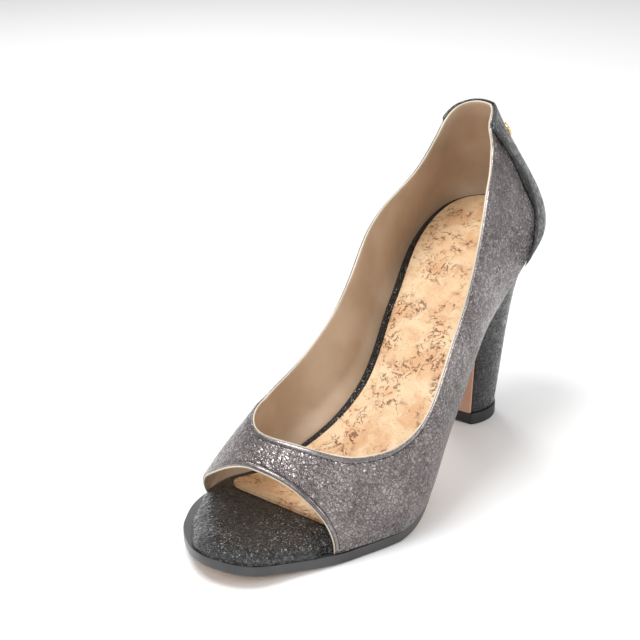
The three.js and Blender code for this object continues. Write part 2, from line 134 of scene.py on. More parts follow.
# Sections of the last: feather edge across in ball widths, its rise in seat heights, its spring in toe
# springs, and the ridge over it in crown heights
LAST_SECTIONS = (
    # at, inner, outer, rise, spring, crown
    (0.0, 0.0, 0.0, 1.0, 0.0, 1.0),
    (0.1, -0.23, 0.225, 0.985, 0.0, 1.0),
    (0.2, -0.35, 0.355, 0.93, 0.0, 0.96),
    (0.3, -0.355, 0.385, 0.81, 0.0, 0.945),
    (0.4, -0.26, 0.385, 0.6, 0.0, 0.93),
    (0.5, -0.2, 0.455, 0.295, 0.0, 0.89),
    (0.6, -0.44, 0.525, 0.03, 0.0, 0.71),
    (0.7, -0.55, 0.405, -0.01, -0.04, 0.44),
    (0.8, -0.42, 0.25, 0.0, 0.3, 0.27),
    (0.9, -0.22, 0.135, 0.0, 0.75, 0.15),
    (1.0, -0.05, -0.05, 0.0, 1.0, 0.105),
)

# Fullness of the last: how far the side leans out, how high it stands and how wide the ridge is
LAST_FULLNESS = (
    # at, swell, inner_side, inner_top, outer_side, outer_top
    (0.0, 1.0, 0.25, 0.25, 0.25, 0.25),
    (0.1, 1.6, 0.24, 0.2, 0.19, -0.35),
    (0.2, 0.45, 0.17, 0.1, 0.14, -0.12),
    (0.3, 0.6, 0.28, 0.25, 0.21, 0.1),
    (0.4, 2.3, 0.42, 1.1, 0.3, 0.46),
    (0.5, 1.8, 0.46, 1.45, 0.37, 0.46),
    (0.6, 0.95, 0.42, 0.76, 0.44, 0.72),
    (0.7, 0.4, 0.28, 0.54, 0.44, 0.72),
    (0.8, 0.2, 0.23, 0.49, 0.4, 0.62),
    (0.9, 0.2, 0.35, 0.55, 0.4, 0.58),
    (1.0, 0.2, 0.4, 0.58, 0.4, 0.58),
)

COLLAR_EDGE = (
    # at, across
    (0.0, -0.54),
    (0.12, -0.535),
    (0.24, -0.57),
    (0.36, -0.63),
    (0.48, -0.625),
    (0.58, -0.605),
    (0.675, -0.32),
    (0.713, 0.0),
    (0.675, 0.44),
    (0.58, 0.625),
    (0.48, 0.62),
    (0.36, 0.495),
    (0.24, 0.505),
    (0.12, 0.53),
    (0.0, 0.54),
)

PEEP_EDGE = (
    # at, across
    (0.7, -1.0),
    (0.72, -0.75),
    (0.758, -0.4),
    (0.768, 0.0),
    (0.752, 0.4),
    (0.735, 0.75),
    (0.73, 1.0),
)

# Distances of the upper's rows of points from its edges: round the fold, and then over the seam
FOLD_ROWS = (0.0, 0.06, 0.2, 0.42, 0.8)
SEAM_ROWS = (1.2, 1.6, 1.85, 2.1, 2.35, 2.7, 3.4, 4.6)

# Soft creases that wearing leaves: place on the upper, lean from level in degrees, and size in millimetres
FLEX_CREASES = (
    # around, up, lean, half_length, width, depth
    (0.335, 0.42, 24.0, 15.0, 2.6, 0.3),
    (0.325, 0.62, 12.0, 12.0, 2.2, 0.24),
    (0.365, 0.3, 38.0, 11.0, 2.4, 0.2),
    (0.66, 0.4, -22.0, 15.0, 2.6, 0.28),
    (0.672, 0.6, -10.0, 12.0, 2.2, 0.22),
    (0.635, 0.3, -36.0, 10.0, 2.4, 0.2),
    (0.76, 0.5, -50.0, 16.0, 3.2, 0.22),
    (0.24, 0.5, 50.0, 16.0, 3.2, 0.22),
    (0.87, 0.55, -20.0, 12.0, 3.0, 0.2),
    (0.13, 0.55, 20.0, 12.0, 3.0, 0.2),
)

# A crease's bow, and how far the raised banks stand from its middle, both in crease widths. How high
# the banks are, in crease depths, and how far a crease reaches through the shoe, in millimetres
CREASE_BOW = 0.8
CREASE_BANK_AWAY = 1.7
CREASE_BANK = 0.45
CREASE_REACH = 12.0

COUNTER_FRONT = (
    # up, at
    (0.0, 0.28),
    (0.2, 0.24),
    (0.4, 0.195),
    (0.6, 0.165),
    (0.85, 0.155),
    (1.0, 0.15),
)

# Rings of the plaque from its back to its front, as shares of its size and of its thickness
PLAQUE_RINGS = (
    # size, thick
    (0.0, 0.0),
    (0.6, 0.0),
    (0.96, 0.0),
    (1.0, 0.15),
    (1.0, 0.6),
    (0.97, 0.85),
    (0.9, 1.0),
    (0.82, 0.95),
    (0.76, 0.78),
    (0.6, 0.8),
    (0.35, 0.84),
    (0.0, 0.86),
)

OUTSOLE_OUTLINE = (
    # at, out
    (0.25, -1.5),
    (0.45, -2.5),
    (0.62, -0.4),
    (0.75, 0.6),
    (0.88, 1.0),
    (1.0, 1.0),
)


@dataclass
class Last:
    """The foot form that every piece follows, in millimetres."""

    length: float = 216.0
    ball_width: float = 79.0
    seat_height: float = 96.0
    crown_height: float = 93.0
    toe_spring: float = 6.5
    side_swell: float = 6.0
    heel_tip_set: float = 31.0
    heel_lean: float = 62.0
    heel_lean_reach: float = 60.0
    toe_lean: float = 5.0
    toe_lean_reach: float = 40.0
    ball_feather: float = 4.5
    arch_pad: float = 2.6
    arch_start: tuple[float, float] = (0.44, 0.13)
    arch_end: tuple[float, float] = (0.65, 0.07)
    step: float = 0.002
    form: dict[str, Curve] = field(init=False)

    def __post_init__(self) -> None:
        """Makes the curves of both tables."""
        self.form = row_curves(LAST_SECTIONS, "at inner outer rise spring crown")
        self.form |= row_curves(LAST_FULLNESS, "at swell inner_side inner_top outer_side outer_top")

    def length_of(self, at: Array) -> Array:
        """Returns the plan length from the heel to a station."""
        return self.length * (1 - np.cos(np.pi * np.asarray(at, float))) / 2

    def station_of(self, length: Array) -> Array:
        """Returns the station at a plan length."""
        return np.arccos(np.clip(1 - 2 * np.asarray(length, float) / self.length, -1, 1)) / np.pi

    def feather_height(self, at: Array) -> Array:
        """Returns the height of the feather edge."""
        rise = np.maximum(self.form["rise"](at), 0) * (self.seat_height - self.ball_feather)
        return self.ball_feather + rise + np.maximum(self.form["spring"](at), 0) * self.toe_spring

    def arch_fill(self, at: Array, side: Array) -> Array:
        """Returns how far the padding of the arch stands in from the wall, on the inner side alone."""
        rise = smooth((at - self.arch_start[0]) / self.arch_start[1])
        fall = 1 - smooth((at - self.arch_end[0]) / self.arch_end[1])
        return np.where(np.asarray(side) < 0, self.arch_pad * (rise * fall), 0.0)

    def feather_plan(self, at: Array, side: Array) -> Array:
        """Returns plan points of the feather edge as (across, length), side being -1 or 1."""
        share = np.where(side < 0, self.form["inner"](at), self.form["outer"](at))
        return np.stack([share * self.ball_width, self.length_of(at)], -1)

    def feather_normal(self, at: Array, side: Array) -> Array:
        """Returns the outward directions of the feather edge in plan."""
        ahead = self.feather_plan(np.minimum(at + self.step, 1), side)
        along = ahead - self.feather_plan(np.maximum(at - self.step, 0), side)
        normal = np.stack([along[..., 1], -along[..., 0]], -1) * side[..., None]
        normal /= np.maximum(np.linalg.norm(normal, axis=-1, keepdims=True), 1e-9)
        normal = np.where((at <= 0)[..., None], np.array([0.0, -1.0]), normal)
        return np.where((at >= 1)[..., None], np.array([0.0, 1.0]), normal)

    def inset_plan(self, at: Array, side: Array, inset: Array) -> Array:
        """Returns plan points of the feather edge moved inwards."""
        return self.feather_plan(at, side) - self.feather_normal(at, side) * np.asarray(inset)[..., None]

    def place(self, plan: Array, height: Array) -> Array:
        """Returns the points over plan points at a height."""
        height = np.broadcast_to(height, plan.shape[:-1])
        return np.stack([plan[..., 0], self.heel_tip_set - plan[..., 1], height], -1)

    def point(self, at: Array, across: Array) -> Array:
        """Finds points on the last.

        Args:
            at: stations from 0 at the heel to 1 at the toe.
            across: -1 at the inner feather edge, 0 on the ridge and 1 at the outer edge.

        Returns:
            The points.
        """
        at, across = np.broadcast_arrays(np.asarray(at, float), np.asarray(across, float))
        side = np.where(across < 0, -1, 1)
        form = {name: curve(at) for name, curve in self.form.items()}
        foot = self.feather_plan(at, side)
        height = self.feather_height(at)
        crown = form["crown"] * self.crown_height
        side_full = np.where(side < 0, form["inner_side"], form["outer_side"])
        top_full = np.where(side < 0, form["inner_top"], form["outer_top"])
        heel_lean = self.heel_lean * (1 - smooth(foot[..., 1] / self.heel_lean_reach))
        toe_share = (foot[..., 1] - self.length + self.toe_lean_reach) / self.toe_lean_reach
        middle = (form["inner"] + form["outer"]) / 2 * self.ball_width
        ridge = np.stack([middle, foot[..., 1] + heel_lean - self.toe_lean * smooth(toe_share)], -1)
        swollen = foot + self.feather_normal(at, side) * (form["swell"] * self.side_swell)[..., None]
        shoulder = mix(ridge, foot, top_full[..., None])
        q = (1 - np.abs(across))[..., None]
        return (
            self.place(foot, height) * (1 - q) ** 3
            + self.place(swollen, height + side_full * crown) * 3 * (1 - q) ** 2 * q
            + self.place(shoulder, height + crown) * 3 * (1 - q) * q**2
            + self.place(ridge, height + crown) * q**3
        )

    def normal(self, at: Array, across: Array) -> Array:
        """Returns outward directions of the last's surface."""
        at, across = np.broadcast_arrays(np.asarray(at, float), np.asarray(across, float))
        inner = across < 0
        low = np.where(inner, -1.0, 0.0)
        high = np.where(inner, -self.step / 4, 1.0)
        ahead = self.point(np.minimum(at + self.step, 1), across)
        to_toe = ahead - self.point(np.maximum(at - self.step, 0), across)
        behind = self.point(at, np.maximum(across - self.step, low))
        to_outer = self.point(at, np.minimum(across + self.step, high)) - behind
        normal = np.cross(to_toe, to_outer)
        return normal / np.maximum(np.linalg.norm(normal, axis=-1, keepdims=True), 1e-12)

    def skin(self, at: Array, across: Array, distance: Array) -> Array:
        """Returns points off the last, outwards where distance is above 0."""
        return self.point(at, across) + self.normal(at, across) * np.asarray(distance)[..., None]


# Meshes


def select_only(*objects: bpy.types.Object) -> None:
    """Selects these objects and makes the first one active."""
    for other in bpy.context.scene.objects:
        other.select_set(False)
    for item in objects:
        item.select_set(True)
    if objects:
        bpy.context.view_layer.objects.active = objects[0]


def in_edit_mode(piece: bpy.types.Object, *steps: tuple) -> None:
    """Runs operators on a whole piece in edit mode.

    Args:
        piece: the piece to shape.
        steps: pairs of an operator and its options.
    """
    select_only(piece)
    bpy.ops.object.mode_set(mode="EDIT")
    bpy.ops.mesh.select_all(action="SELECT")
    for operator, options in steps:
        operator(**options)
    bpy.ops.object.mode_set(mode="OBJECT")


def lay_grid(
    name: str,
    points: Array,
    ring_closed: bool = True,
    looped: bool = False,
    finish_rows: Array | None = None,
    marks: dict[str, Array] | None = None,
    sharp_angle: float = 50.0,
) -> bpy.types.Object:
    """Lays a grid primitive over points and closes it into one solid.

    Args:
        name: the piece's name.
        points: rings of points, as (ring, row, 3), in millimetres.
        ring_closed: whether each ring closes on itself.
        looped: whether the last ring joins the first.
        finish_rows: the material slot of the faces after each row.
        marks: values by point, kept as attributes for the materials.
        sharp_angle: edges bent by more degrees than this stay sharp.

    Returns:
        The piece.
    """
    rings, rows = points.shape[:2]
    ring_index = np.arange(rings + looped) % rings
    row_index = np.arange(rows + ring_closed) % rows
    select_only()
    bpy.ops.mesh.primitive_grid_add(
        x_subdivisions=len(ring_index) - 1, y_subdivisions=len(row_index) - 1, size=2.0
    )
    piece = bpy.context.active_object
    piece.name = piece.data.name = name
    mesh = piece.data
    flat = np.empty(len(mesh.vertices) * 3)
    mesh.vertices.foreach_get("co", flat)
    spot = (flat.reshape(-1, 3) + 1) / 2
    ring = np.rint(spot[:, 0] * (len(ring_index) - 1)).astype(int)
    row = np.rint(spot[:, 1] * (len(row_index) - 1)).astype(int)
    mesh.vertices.foreach_set("co", (points[ring_index[ring], row_index[row]] * MM).ravel())
    for key, values in (marks or {}).items():
        mark = mesh.attributes.new(key, "FLOAT", "POINT")
        mark.data.foreach_set("value", values[ring_index[ring], row_index[row]].astype(np.float32))
    if finish_rows is not None:
        corner = np.empty(len(mesh.loops), dtype=np.int32)
        mesh.loops.foreach_get("vertex_index", corner)
        first_row = row[corner].reshape(-1, 4).min(axis=1)
        mesh.polygons.foreach_set("material_index", finish_rows[first_row].astype(np.int32))
    close_up(piece, sharp_angle)
    return piece


def close_up(piece: bpy.types.Object, sharp_angle: float = 50.0) -> None:
    """Merges doubles, closes open ends, turns faces outwards and smooths the shading."""
    in_edit_mode(
        piece,
        (bpy.ops.mesh.remove_doubles, {"threshold": 2e-6}),
        (bpy.ops.mesh.dissolve_degenerate, {"threshold": 1e-7}),
        (bpy.ops.mesh.fill_holes, {"sides": 0}),
        (bpy.ops.mesh.normals_make_consistent, {"inside": False}),
    )
    bpy.ops.object.shade_smooth_by_angle(angle=math.radians(sharp_angle))


def apply_bevel(piece: bpy.types.Object, width: float, segments: int = 3, angle: float = 50.0) -> None:
    """Rounds the sharp edges of a piece by a width in millimetres."""
    bevel = piece.modifiers.new("round", "BEVEL")
    bevel.width = width * MM
    bevel.segments = segments
    bevel.limit_method = "ANGLE"
    bevel.angle_limit = math.radians(angle)
    select_only(piece)
    bpy.ops.object.modifier_apply(modifier=bevel.name)
    bpy.ops.object.shade_smooth_by_angle(angle=math.radians(angle))


def repeat_along(name: str, points: Array, along: Array, out: Array, size: Array) -> bpy.types.Object:
    """Copies one stitch to many places as a single mesh.

    Args:
        name: the piece's name.
        points: the middle of each stitch, in millimetres.
        along: the direction of each thread.
        out: the outward direction at each place.
        size: half length, half width and half height of a stitch.

    Returns:
        The row of stitches.
    """
    select_only()
    bpy.ops.mesh.primitive_uv_sphere_add(segments=8, ring_count=6, radius=1.0)
    piece = bpy.context.active_object
    piece.name = piece.data.name = name
    flat = np.empty(len(piece.data.vertices) * 3)
    piece.data.vertices.foreach_get("co", flat)
    ball = flat.reshape(-1, 3) * size
    faces = [list(face.vertices) for face in piece.data.polygons]
    along = along / np.linalg.norm(along, axis=-1, keepdims=True)
    beside = np.cross(out, along)
    beside /= np.linalg.norm(beside, axis=-1, keepdims=True)
    axes = np.stack([along, beside, np.cross(along, beside)], 1)
    corners = points[:, None] + np.einsum("vk,skc->svc", ball, axes)
    every = [[v + i * len(ball) for v in face] for i in range(len(points)) for face in faces]
    mesh = bpy.data.meshes.new(name)
    mesh.from_pydata((corners.reshape(-1, 3) * MM).tolist(), [], every)
    piece.data = mesh
    in_edit_mode(piece, (bpy.ops.mesh.normals_make_consistent, {"inside": False}))
    bpy.ops.object.shade_smooth()
    return piece


def dress(piece: bpy.types.Object, slot: str, *finishes: bpy.types.Material, replaces: str = "") -> None:
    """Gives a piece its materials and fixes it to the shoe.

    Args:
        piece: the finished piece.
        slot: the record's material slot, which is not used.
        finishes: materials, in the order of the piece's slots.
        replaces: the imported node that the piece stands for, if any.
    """
    for finish in finishes:
        piece.data.materials.append(finish)
    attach(piece, "root")
    if replaces:
        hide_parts(replaces)
    LOG.info("%s: %d faces", piece.name, len(piece.data.polygons))


def waviness(points: Array, size: float, height: float, seed: float) -> Array:
    """Works out soft random heights over points.

    Args:
        points: places in millimetres.
        size: width of one wave.
        height: how far the waves rise and fall.
        seed: shift that gives another pattern.

    Returns:
        The heights in millimetres.
    """
    flat = points.reshape(-1, 3) / size + seed
    values = [noise.noise(Vector(place)) for place in flat]
    return np.array(values).reshape(points.shape[:-1]) * height


# Material building


class Graph:
    """A node tree, with short ways to add and join nodes."""

    def __init__(self, tree: bpy.types.NodeTree) -> None:
        """Keeps the tree."""
        self.tree = tree

    def feed(self, socket: bpy.types.NodeSocket, value: object) -> None:
        """Links a socket to another one, or sets its value."""
        if isinstance(value, bpy.types.NodeSocket):
            self.tree.links.new(value, socket)
        else:
            socket.default_value = value

    def add(self, kind: str, inputs: dict | None = None, **settings: object) -> bpy.types.Node:
        """Adds a node.

        Args:
            kind: the node's type, without its ShaderNode prefix.
            inputs: values or sockets by input name or number.
            settings: properties of the node.

        Returns:
            The node.
        """
        node = self.tree.nodes.new("ShaderNode" + kind)
        for key, value in settings.items():
            setattr(node, key, value)
        for key, value in (inputs or {}).items():
            self.feed(node.inputs[key], value)
        return node

    def math(self, operation: str, a: object, b: object = 0.0) -> bpy.types.NodeSocket:
        """Returns the result of a sum on two values."""
        return self.add("Math", {0: a, 1: b}, operation=operation).outputs[0]

    def vector(self, operation: str, a: object, b: object = (0, 0, 0)) -> bpy.types.NodeSocket:
        """Returns the vector, or for DOT_PRODUCT the value, of a vector sum."""
        node = self.add("VectorMath", {0: a, 1: b}, operation=operation)
        return node.outputs["Value" if operation == "DOT_PRODUCT" else "Vector"]

    def scaled(self, vector: object, scale: object) -> bpy.types.NodeSocket:
        """Returns a vector times a number."""
        node = self.add("VectorMath", {0: vector, "Scale": scale}, operation="SCALE")
        return node.outputs["Vector"]

    def ramp(
        self, value: object, low: float, high: float, to_low: float = 0, to_high: float = 1
    ) -> bpy.types.NodeSocket:
        """Returns a value carried softly from one range to another."""
        places = {"Value": value, "From Min": low, "From Max": high, "To Min": to_low, "To Max": to_high}
        return self.add("MapRange", places, interpolation_type="SMOOTHSTEP").outputs[0]

    def colour(self, share: object, a: object, b: object, blend: str = "MIX") -> bpy.types.NodeSocket:
        """Returns colour b laid over colour a by a share."""
        node = self.add("Mix", {0: share}, data_type="RGBA", blend_type=blend, clamp_factor=True)
        for socket, value in ((node.inputs[6], a), (node.inputs[7], b)):
            self.feed(socket, (*value, 1.0) if isinstance(value, tuple) else value)
        return node.outputs[2]

    def noise(self, vector: object, scale: float, detail: float = 2.0, **more: object) -> bpy.types.Node:
        """Returns a noise texture at a scale per metre."""
        return self.add("TexNoise", {"Vector": vector, "Scale": scale, "Detail": detail}, **more)


def new_group(name: str, inputs: dict[str, str], outputs: dict[str, str]) -> tuple[Graph, dict, dict]:
    """Starts a shader node group.

    Args:
        name: the group's name.
        inputs: socket types by input name.
        outputs: socket types by output name.

    Returns:
        Its graph, its inputs by name, and the sockets its results go to.
    """
    tree = bpy.data.node_groups.new(name, "ShaderNodeTree")
    for key, kind in inputs.items():
        tree.interface.new_socket(key, in_out="INPUT", socket_type="NodeSocket" + kind)
    for key, kind in outputs.items():
        tree.interface.new_socket(key, in_out="OUTPUT", socket_type="NodeSocket" + kind)
    start = tree.nodes.new("NodeGroupInput")
    end = tree.nodes.new("NodeGroupOutput")
    return Graph(tree), {key: start.outputs[key] for key in inputs}, {key: end.inputs[key] for key in outputs}


def crinkle_group() -> bpy.types.NodeTree:
    """Makes the group for crumpled, foil-covered leather: small tilted facets between fine creases."""
    graph, given, result = new_group(
        "crinkled leather",
        {"Vector": "Vector", "Scale": "Float"},
        {"Height": "Float", "Crease": "Float", "Facet": "Float"},
    )
    place = graph.scaled(given["Vector"], given["Scale"])
    stir = graph.noise(place, 0.8, 1.0)
    shift = graph.scaled(graph.vector("SUBTRACT", stir.outputs["Color"], (0.5, 0.5, 0.5)), 1.2)
    place = graph.vector("ADD", place, shift)
    cells = graph.add("TexVoronoi", {"Vector": place, "Scale": 1.0, "Randomness": 1.0})
    small = graph.add("TexVoronoi", {"Vector": place, "Scale": 2.3, "Randomness": 1.0})
    edges = graph.add("TexVoronoi", {"Vector": place, "Scale": 1.0}, feature="DISTANCE_TO_EDGE")
    worms = graph.noise(place, 1.1, 1.0)
    total = graph.math("MULTIPLY", worms.outputs[0], 1.0)
    for texture, scale, share in ((cells, 1.0, 1.5), (small, 2.3, 0.5)):
        middle = graph.scaled(texture.outputs["Position"], scale)
        local = graph.vector("SUBTRACT", graph.scaled(place, scale), middle)
        tilt = graph.vector("SUBTRACT", texture.outputs["Color"], (0.5, 0.5, 0.5))
        facet = graph.math("MULTIPLY", graph.vector("DOT_PRODUCT", local, tilt), share)
        total = graph.math("ADD", total, facet)
    crease = graph.ramp(edges.outputs["Distance"], 0.0, 0.14, 1.0, 0.0)
    total = graph.math("SUBTRACT", total, graph.math("MULTIPLY", crease, 0.3))
    graph.feed(result["Height"], total)
    graph.feed(result["Crease"], crease)
    split = graph.add("SeparateColor", {0: cells.outputs["Color"]})
    graph.feed(result["Facet"], split.outputs[2])
    return graph.tree


def grain_group() -> bpy.types.NodeTree:
    """Makes the group for fine leather grain and the soft clouding of a handled surface."""
    graph, given, result = new_group(
        "fine grain", {"Vector": "Vector", "Scale": "Float"}, {"Height": "Float", "Cloud": "Float"}
    )
    place = graph.scaled(given["Vector"], given["Scale"])
    pores = graph.add("TexVoronoi", {"Vector": place, "Scale": 1.0}, feature="SMOOTH_F1")
    fuzz = graph.noise(place, 2.1, 4.0)
    graph.feed(result["Height"], graph.math("ADD", pores.outputs["Distance"], fuzz.outputs[0]))
    cloud = graph.noise(given["Vector"], 55.0, 3.0)
    graph.feed(result["Cloud"], cloud.outputs[0])
    return graph.tree


def shade_and_wear_group() -> bpy.types.NodeTree:
    """Makes the group that paints shade into a colour and lays dust and faint scuffs on it."""
    graph, given, result = new_group(
        "painted shade, dust and scuffs",
        {"Vector": "Vector", "Color": "Color", "Dark": "Float", "Dust": "Float", "Scuff": "Float"},
        {"Color": "Color"},
    )
    specks = graph.noise(given["Vector"], 2600.0, 1.0)
    dust = graph.math("MULTIPLY", graph.ramp(specks.outputs[0], 0.66, 0.76), given["Dust"])
    turned = graph.add(
        "Mapping", {"Vector": given["Vector"], "Rotation": (0.3, 0.5, 0.6), "Scale": (1.0, 0.09, 0.4)}
    )
    streaks = graph.ramp(graph.noise(turned.outputs[0], 900.0, 2.0).outputs[0], 0.68, 0.75)
    handled = graph.ramp(graph.noise(given["Vector"], 45.0, 2.0).outputs[0], 0.5, 0.62)
    scuff = graph.math("MULTIPLY", graph.math("MULTIPLY", streaks, handled), given["Scuff"])
    # Painted shade: the colour is darkened towards black by the Dark share.
    shaded = graph.colour(given["Dark"], given["Color"], (0.0, 0.0, 0.0))
    mark = graph.math("MAXIMUM", dust, scuff)
    graph.feed(result["Color"], graph.colour(mark, shaded, (0.6, 0.58, 0.55)))
    return graph.tree


class Effect(Enum):
    """The node groups that several materials share."""

    CRINKLE = "crinkled leather"
    GRAIN = "fine grain"
    WEAR = "painted shade, dust and scuffs"


@dataclass
class Workshop:
    """Holds the shared node groups and starts materials."""

    groups: dict[Effect, bpy.types.NodeTree] = field(default_factory=dict)

    def __post_init__(self) -> None:
        """Builds each group once."""
        makers = {Effect.CRINKLE: crinkle_group, Effect.GRAIN: grain_group, Effect.WEAR: shade_and_wear_group}
        self.groups = {effect: make() for effect, make in makers.items()}

    def place(self, graph: Graph, effect: Effect, **inputs: object) -> bpy.types.Node:
        """Adds a shared group to a material's graph."""
        node = graph.add("Group")
        node.node_tree = self.groups[effect]
        for key, value in inputs.items():
            graph.feed(node.inputs[key], (*value, 1.0) if isinstance(value, tuple) else value)
        return node

    def start(self, name: str, **surface: object) -> tuple[bpy.types.Material, Graph, bpy.types.Node]:
        """Starts a material.

        Args:
            name: the material's name.
            surface: plain values of the surface shader's sockets, with _ for each space.

        Returns:
            The material, its graph and its surface shader.
        """
        material = bpy.data.materials.new(name)
        material.use_nodes = True
        graph = Graph(material.node_tree)
        shader = material.node_tree.nodes["Principled BSDF"]
        for key, value in surface.items():
            socket = shader.inputs[key.replace("_", " ")]
            socket.default_value = (*value, 1.0) if isinstance(value, tuple) else value
        return material, graph, shader


def bump(
    graph: Graph, height: object, depth: float, strength: float = 1.0, under: object = None
) -> bpy.types.NodeSocket:
    """Turns a height into a normal.

    Args:
        graph: the material's graph.
        height: the height's socket.
        depth: how deep a height of 1 is, in millimetres.
        strength: how much of it shows.
        under: a normal that it lies on, if any.

    Returns:
        The normal's socket.
    """
    node = graph.add("Bump", {"Height": height, "Distance": depth * MM, "Strength": strength})
    if under is not None:
        graph.feed(node.inputs["Normal"], under)
    return node.outputs[0]


@dataclass(frozen=True)
class CrinkledLeather:
    """Crumpled leather with a metallic or glazed face, smoother and darker along its folded or cut edges."""

    name: str
    face: Colour
    hollow: Colour
    metallic: float
    roughness: float
    glint: float
    cell: float
    depth: float
    gloss: float = 0.5
    scuff: float = 0.1
    edge_strip: float = 0.0
    edge_dark: float = 0.0

    def make(self, shop: Workshop) -> bpy.types.Material:
        """Returns the material."""
        material, graph, shader = shop.start(
            self.name, Metallic=self.metallic, Specular_IOR_Level=self.gloss
        )
        place = graph.add("TexCoord").outputs["Object"]
        crinkle = shop.place(graph, Effect.CRINKLE, Vector=place, Scale=1000.0 / self.cell)
        grain = shop.place(graph, Effect.GRAIN, Vector=place, Scale=2400.0)
        cloud = graph.ramp(grain.outputs["Cloud"], 0.35, 0.7, 0.15, 0.65)
        tone = graph.math("ADD", graph.math("MULTIPLY", crinkle.outputs["Facet"], 0.5), cloud)
        tint = graph.colour(tone, self.hollow, self.face)
        # Painted shade: the colour darkens along the crinkle's creases.
        dark = graph.math("MULTIPLY", crinkle.outputs["Crease"], 0.55)
        height = crinkle.outputs["Height"]
        # Near an edge the crinkle flattens and the colour darkens over a strip, by edge_dark.
        if self.edge_strip:
            gap = graph.add("Attribute", attribute_name="edge_gap", attribute_type="GEOMETRY").outputs["Fac"]
            away = graph.ramp(gap, self.edge_strip - 0.4, self.edge_strip + 0.5)
            height = graph.math("MULTIPLY", height, graph.math("MAXIMUM", away, 0.12))
            strip = graph.math("MULTIPLY", graph.math("SUBTRACT", 1.0, away), self.edge_dark)
            dark = graph.math("MAXIMUM", graph.math("MULTIPLY", dark, away), strip)
        shade_and_wear = shop.place(
            graph, Effect.WEAR, Vector=place, Color=tint, Dark=dark, Dust=0.05, Scuff=self.scuff
        )
        graph.feed(shader.inputs["Base Color"], shade_and_wear.outputs[0])
        dull, bright = self.roughness + self.glint, self.roughness - self.glint
        rough = graph.ramp(crinkle.outputs["Facet"], 0.0, 1.0, dull, bright)
        graph.feed(shader.inputs["Roughness"], rough)
        normal = bump(graph, height, self.depth)
        graph.feed(shader.inputs["Normal"], bump(graph, grain.outputs["Height"], 0.02, 0.5, normal))
        return material


@dataclass(frozen=True)
class SmoothLeather:
    """Plain leather with a fine grain: linings, edges and the sole."""

    name: str
    face: Colour
    shade: Colour
    roughness: float
    grain: float = 0.03
    sheen: float = 0.0
    coat: float = 0.0

    def make(self, shop: Workshop) -> bpy.types.Material:
        """Returns the material."""
        material, graph, shader = shop.start(
            self.name, Sheen_Weight=self.sheen, Coat_Weight=self.coat, Coat_Roughness=0.25
        )
        place = graph.add("TexCoord").outputs["Object"]
        grain = shop.place(graph, Effect.GRAIN, Vector=place, Scale=1900.0)
        tint = graph.colour(graph.ramp(grain.outputs["Cloud"], 0.3, 0.72), self.shade, self.face)
        shade_and_wear = shop.place(graph, Effect.WEAR, Vector=place, Color=tint, Dark=0.0, Dust=0.04, Scuff=0.05)
        graph.feed(shader.inputs["Base Color"], shade_and_wear.outputs[0])
        rough = graph.ramp(grain.outputs["Cloud"], 0.2, 0.8, self.roughness - 0.06, self.roughness + 0.06)
        graph.feed(shader.inputs["Roughness"], rough)
        graph.feed(shader.inputs["Normal"], bump(graph, grain.outputs["Height"], self.grain))
        return material


@dataclass(frozen=True)
class CorkSheet:
    """Natural cork leaf: pale grains, dark veins and small bark flecks, with painted shade darkening its toe
    end under the vamp.
    """

    name: str = "natural cork"
    pale: Colour = (0.8, 0.595, 0.365)
    warm: Colour = (0.64, 0.36, 0.175)
    vein: Colour = (0.15, 0.045, 0.025)
    # Painted shade under the vamp: where the darkening starts and where it is full, along Y in metres.
    vamp_shade_from: float = -0.128
    vamp_shade_to: float = -0.158

    def make(self, shop: Workshop) -> bpy.types.Material:
        """Returns the material."""
        material, graph, shader = shop.start(self.name, Sheen_Weight=0.05)
        place = graph.add("TexCoord").outputs["Object"]
        stir = graph.noise(place, 170.0, 4.0)
        shift = graph.scaled(graph.vector("SUBTRACT", stir.outputs["Color"], (0.5, 0.5, 0.5)), 0.014)
        bent = graph.vector("ADD", place, shift)
        patches = graph.add("TexVoronoi", {"Vector": bent, "Scale": 120.0}, feature="F1")
        patch_tone = graph.add("SeparateColor", {0: patches.outputs["Color"]}).outputs[0]
        clouds = graph.ramp(graph.noise(bent, 90.0, 5.0).outputs[0], 0.36, 0.62, 0, 0.7)
        tone = graph.math("ADD", graph.math("MULTIPLY", patch_tone, 0.35), clouds)
        tint = graph.colour(tone, self.warm, self.pale)
        edges = graph.add("TexVoronoi", {"Vector": bent, "Scale": 190.0}, feature="DISTANCE_TO_EDGE")
        lines = graph.ramp(edges.outputs["Distance"], 0.0, 0.07, 1.0, 0.0)
        rich = graph.ramp(graph.noise(place, 75.0, 3.0).outputs[0], 0.42, 0.56)
        broken = graph.ramp(graph.noise(place, 340.0, 2.0).outputs[0], 0.4, 0.56)
        veins = graph.math("MULTIPLY", lines, graph.math("MULTIPLY", rich, broken))
        slivers = graph.ramp(graph.noise(bent, 330.0, 6.0).outputs[0], 0.56, 0.64)
        slivers = graph.math("MULTIPLY", slivers, graph.math("MULTIPLY", rich, 0.8))
        specks = graph.ramp(graph.noise(place, 1100.0, 2.0).outputs[0], 0.64, 0.72, 0.0, 0.45)
        mask = graph.math("MAXIMUM", graph.math("MAXIMUM", veins, slivers), specks)
        tint = graph.colour(mask, tint, self.vein)
        # Painted shade: the cork darkens towards the toe, where the vamp shades it.
        along = graph.add("SeparateXYZ", {0: place}).outputs["Y"]
        vamp_shade = graph.ramp(along, self.vamp_shade_to, self.vamp_shade_from, 0.42, 0.0)
        shade_and_wear = shop.place(graph, Effect.WEAR, Vector=place, Color=tint, Dark=vamp_shade, Dust=0.0, Scuff=0.0)
        graph.feed(shader.inputs["Base Color"], shade_and_wear.outputs[0])
        graph.feed(shader.inputs["Roughness"], graph.ramp(mask, 0.0, 1.0, 0.5, 0.72))
        grains = graph.noise(bent, 900.0, 3.0)
        height = graph.math("SUBTRACT", grains.outputs[0], graph.math("MULTIPLY", mask, 0.8))
        graph.feed(shader.inputs["Normal"], bump(graph, height, 0.12))
        return material


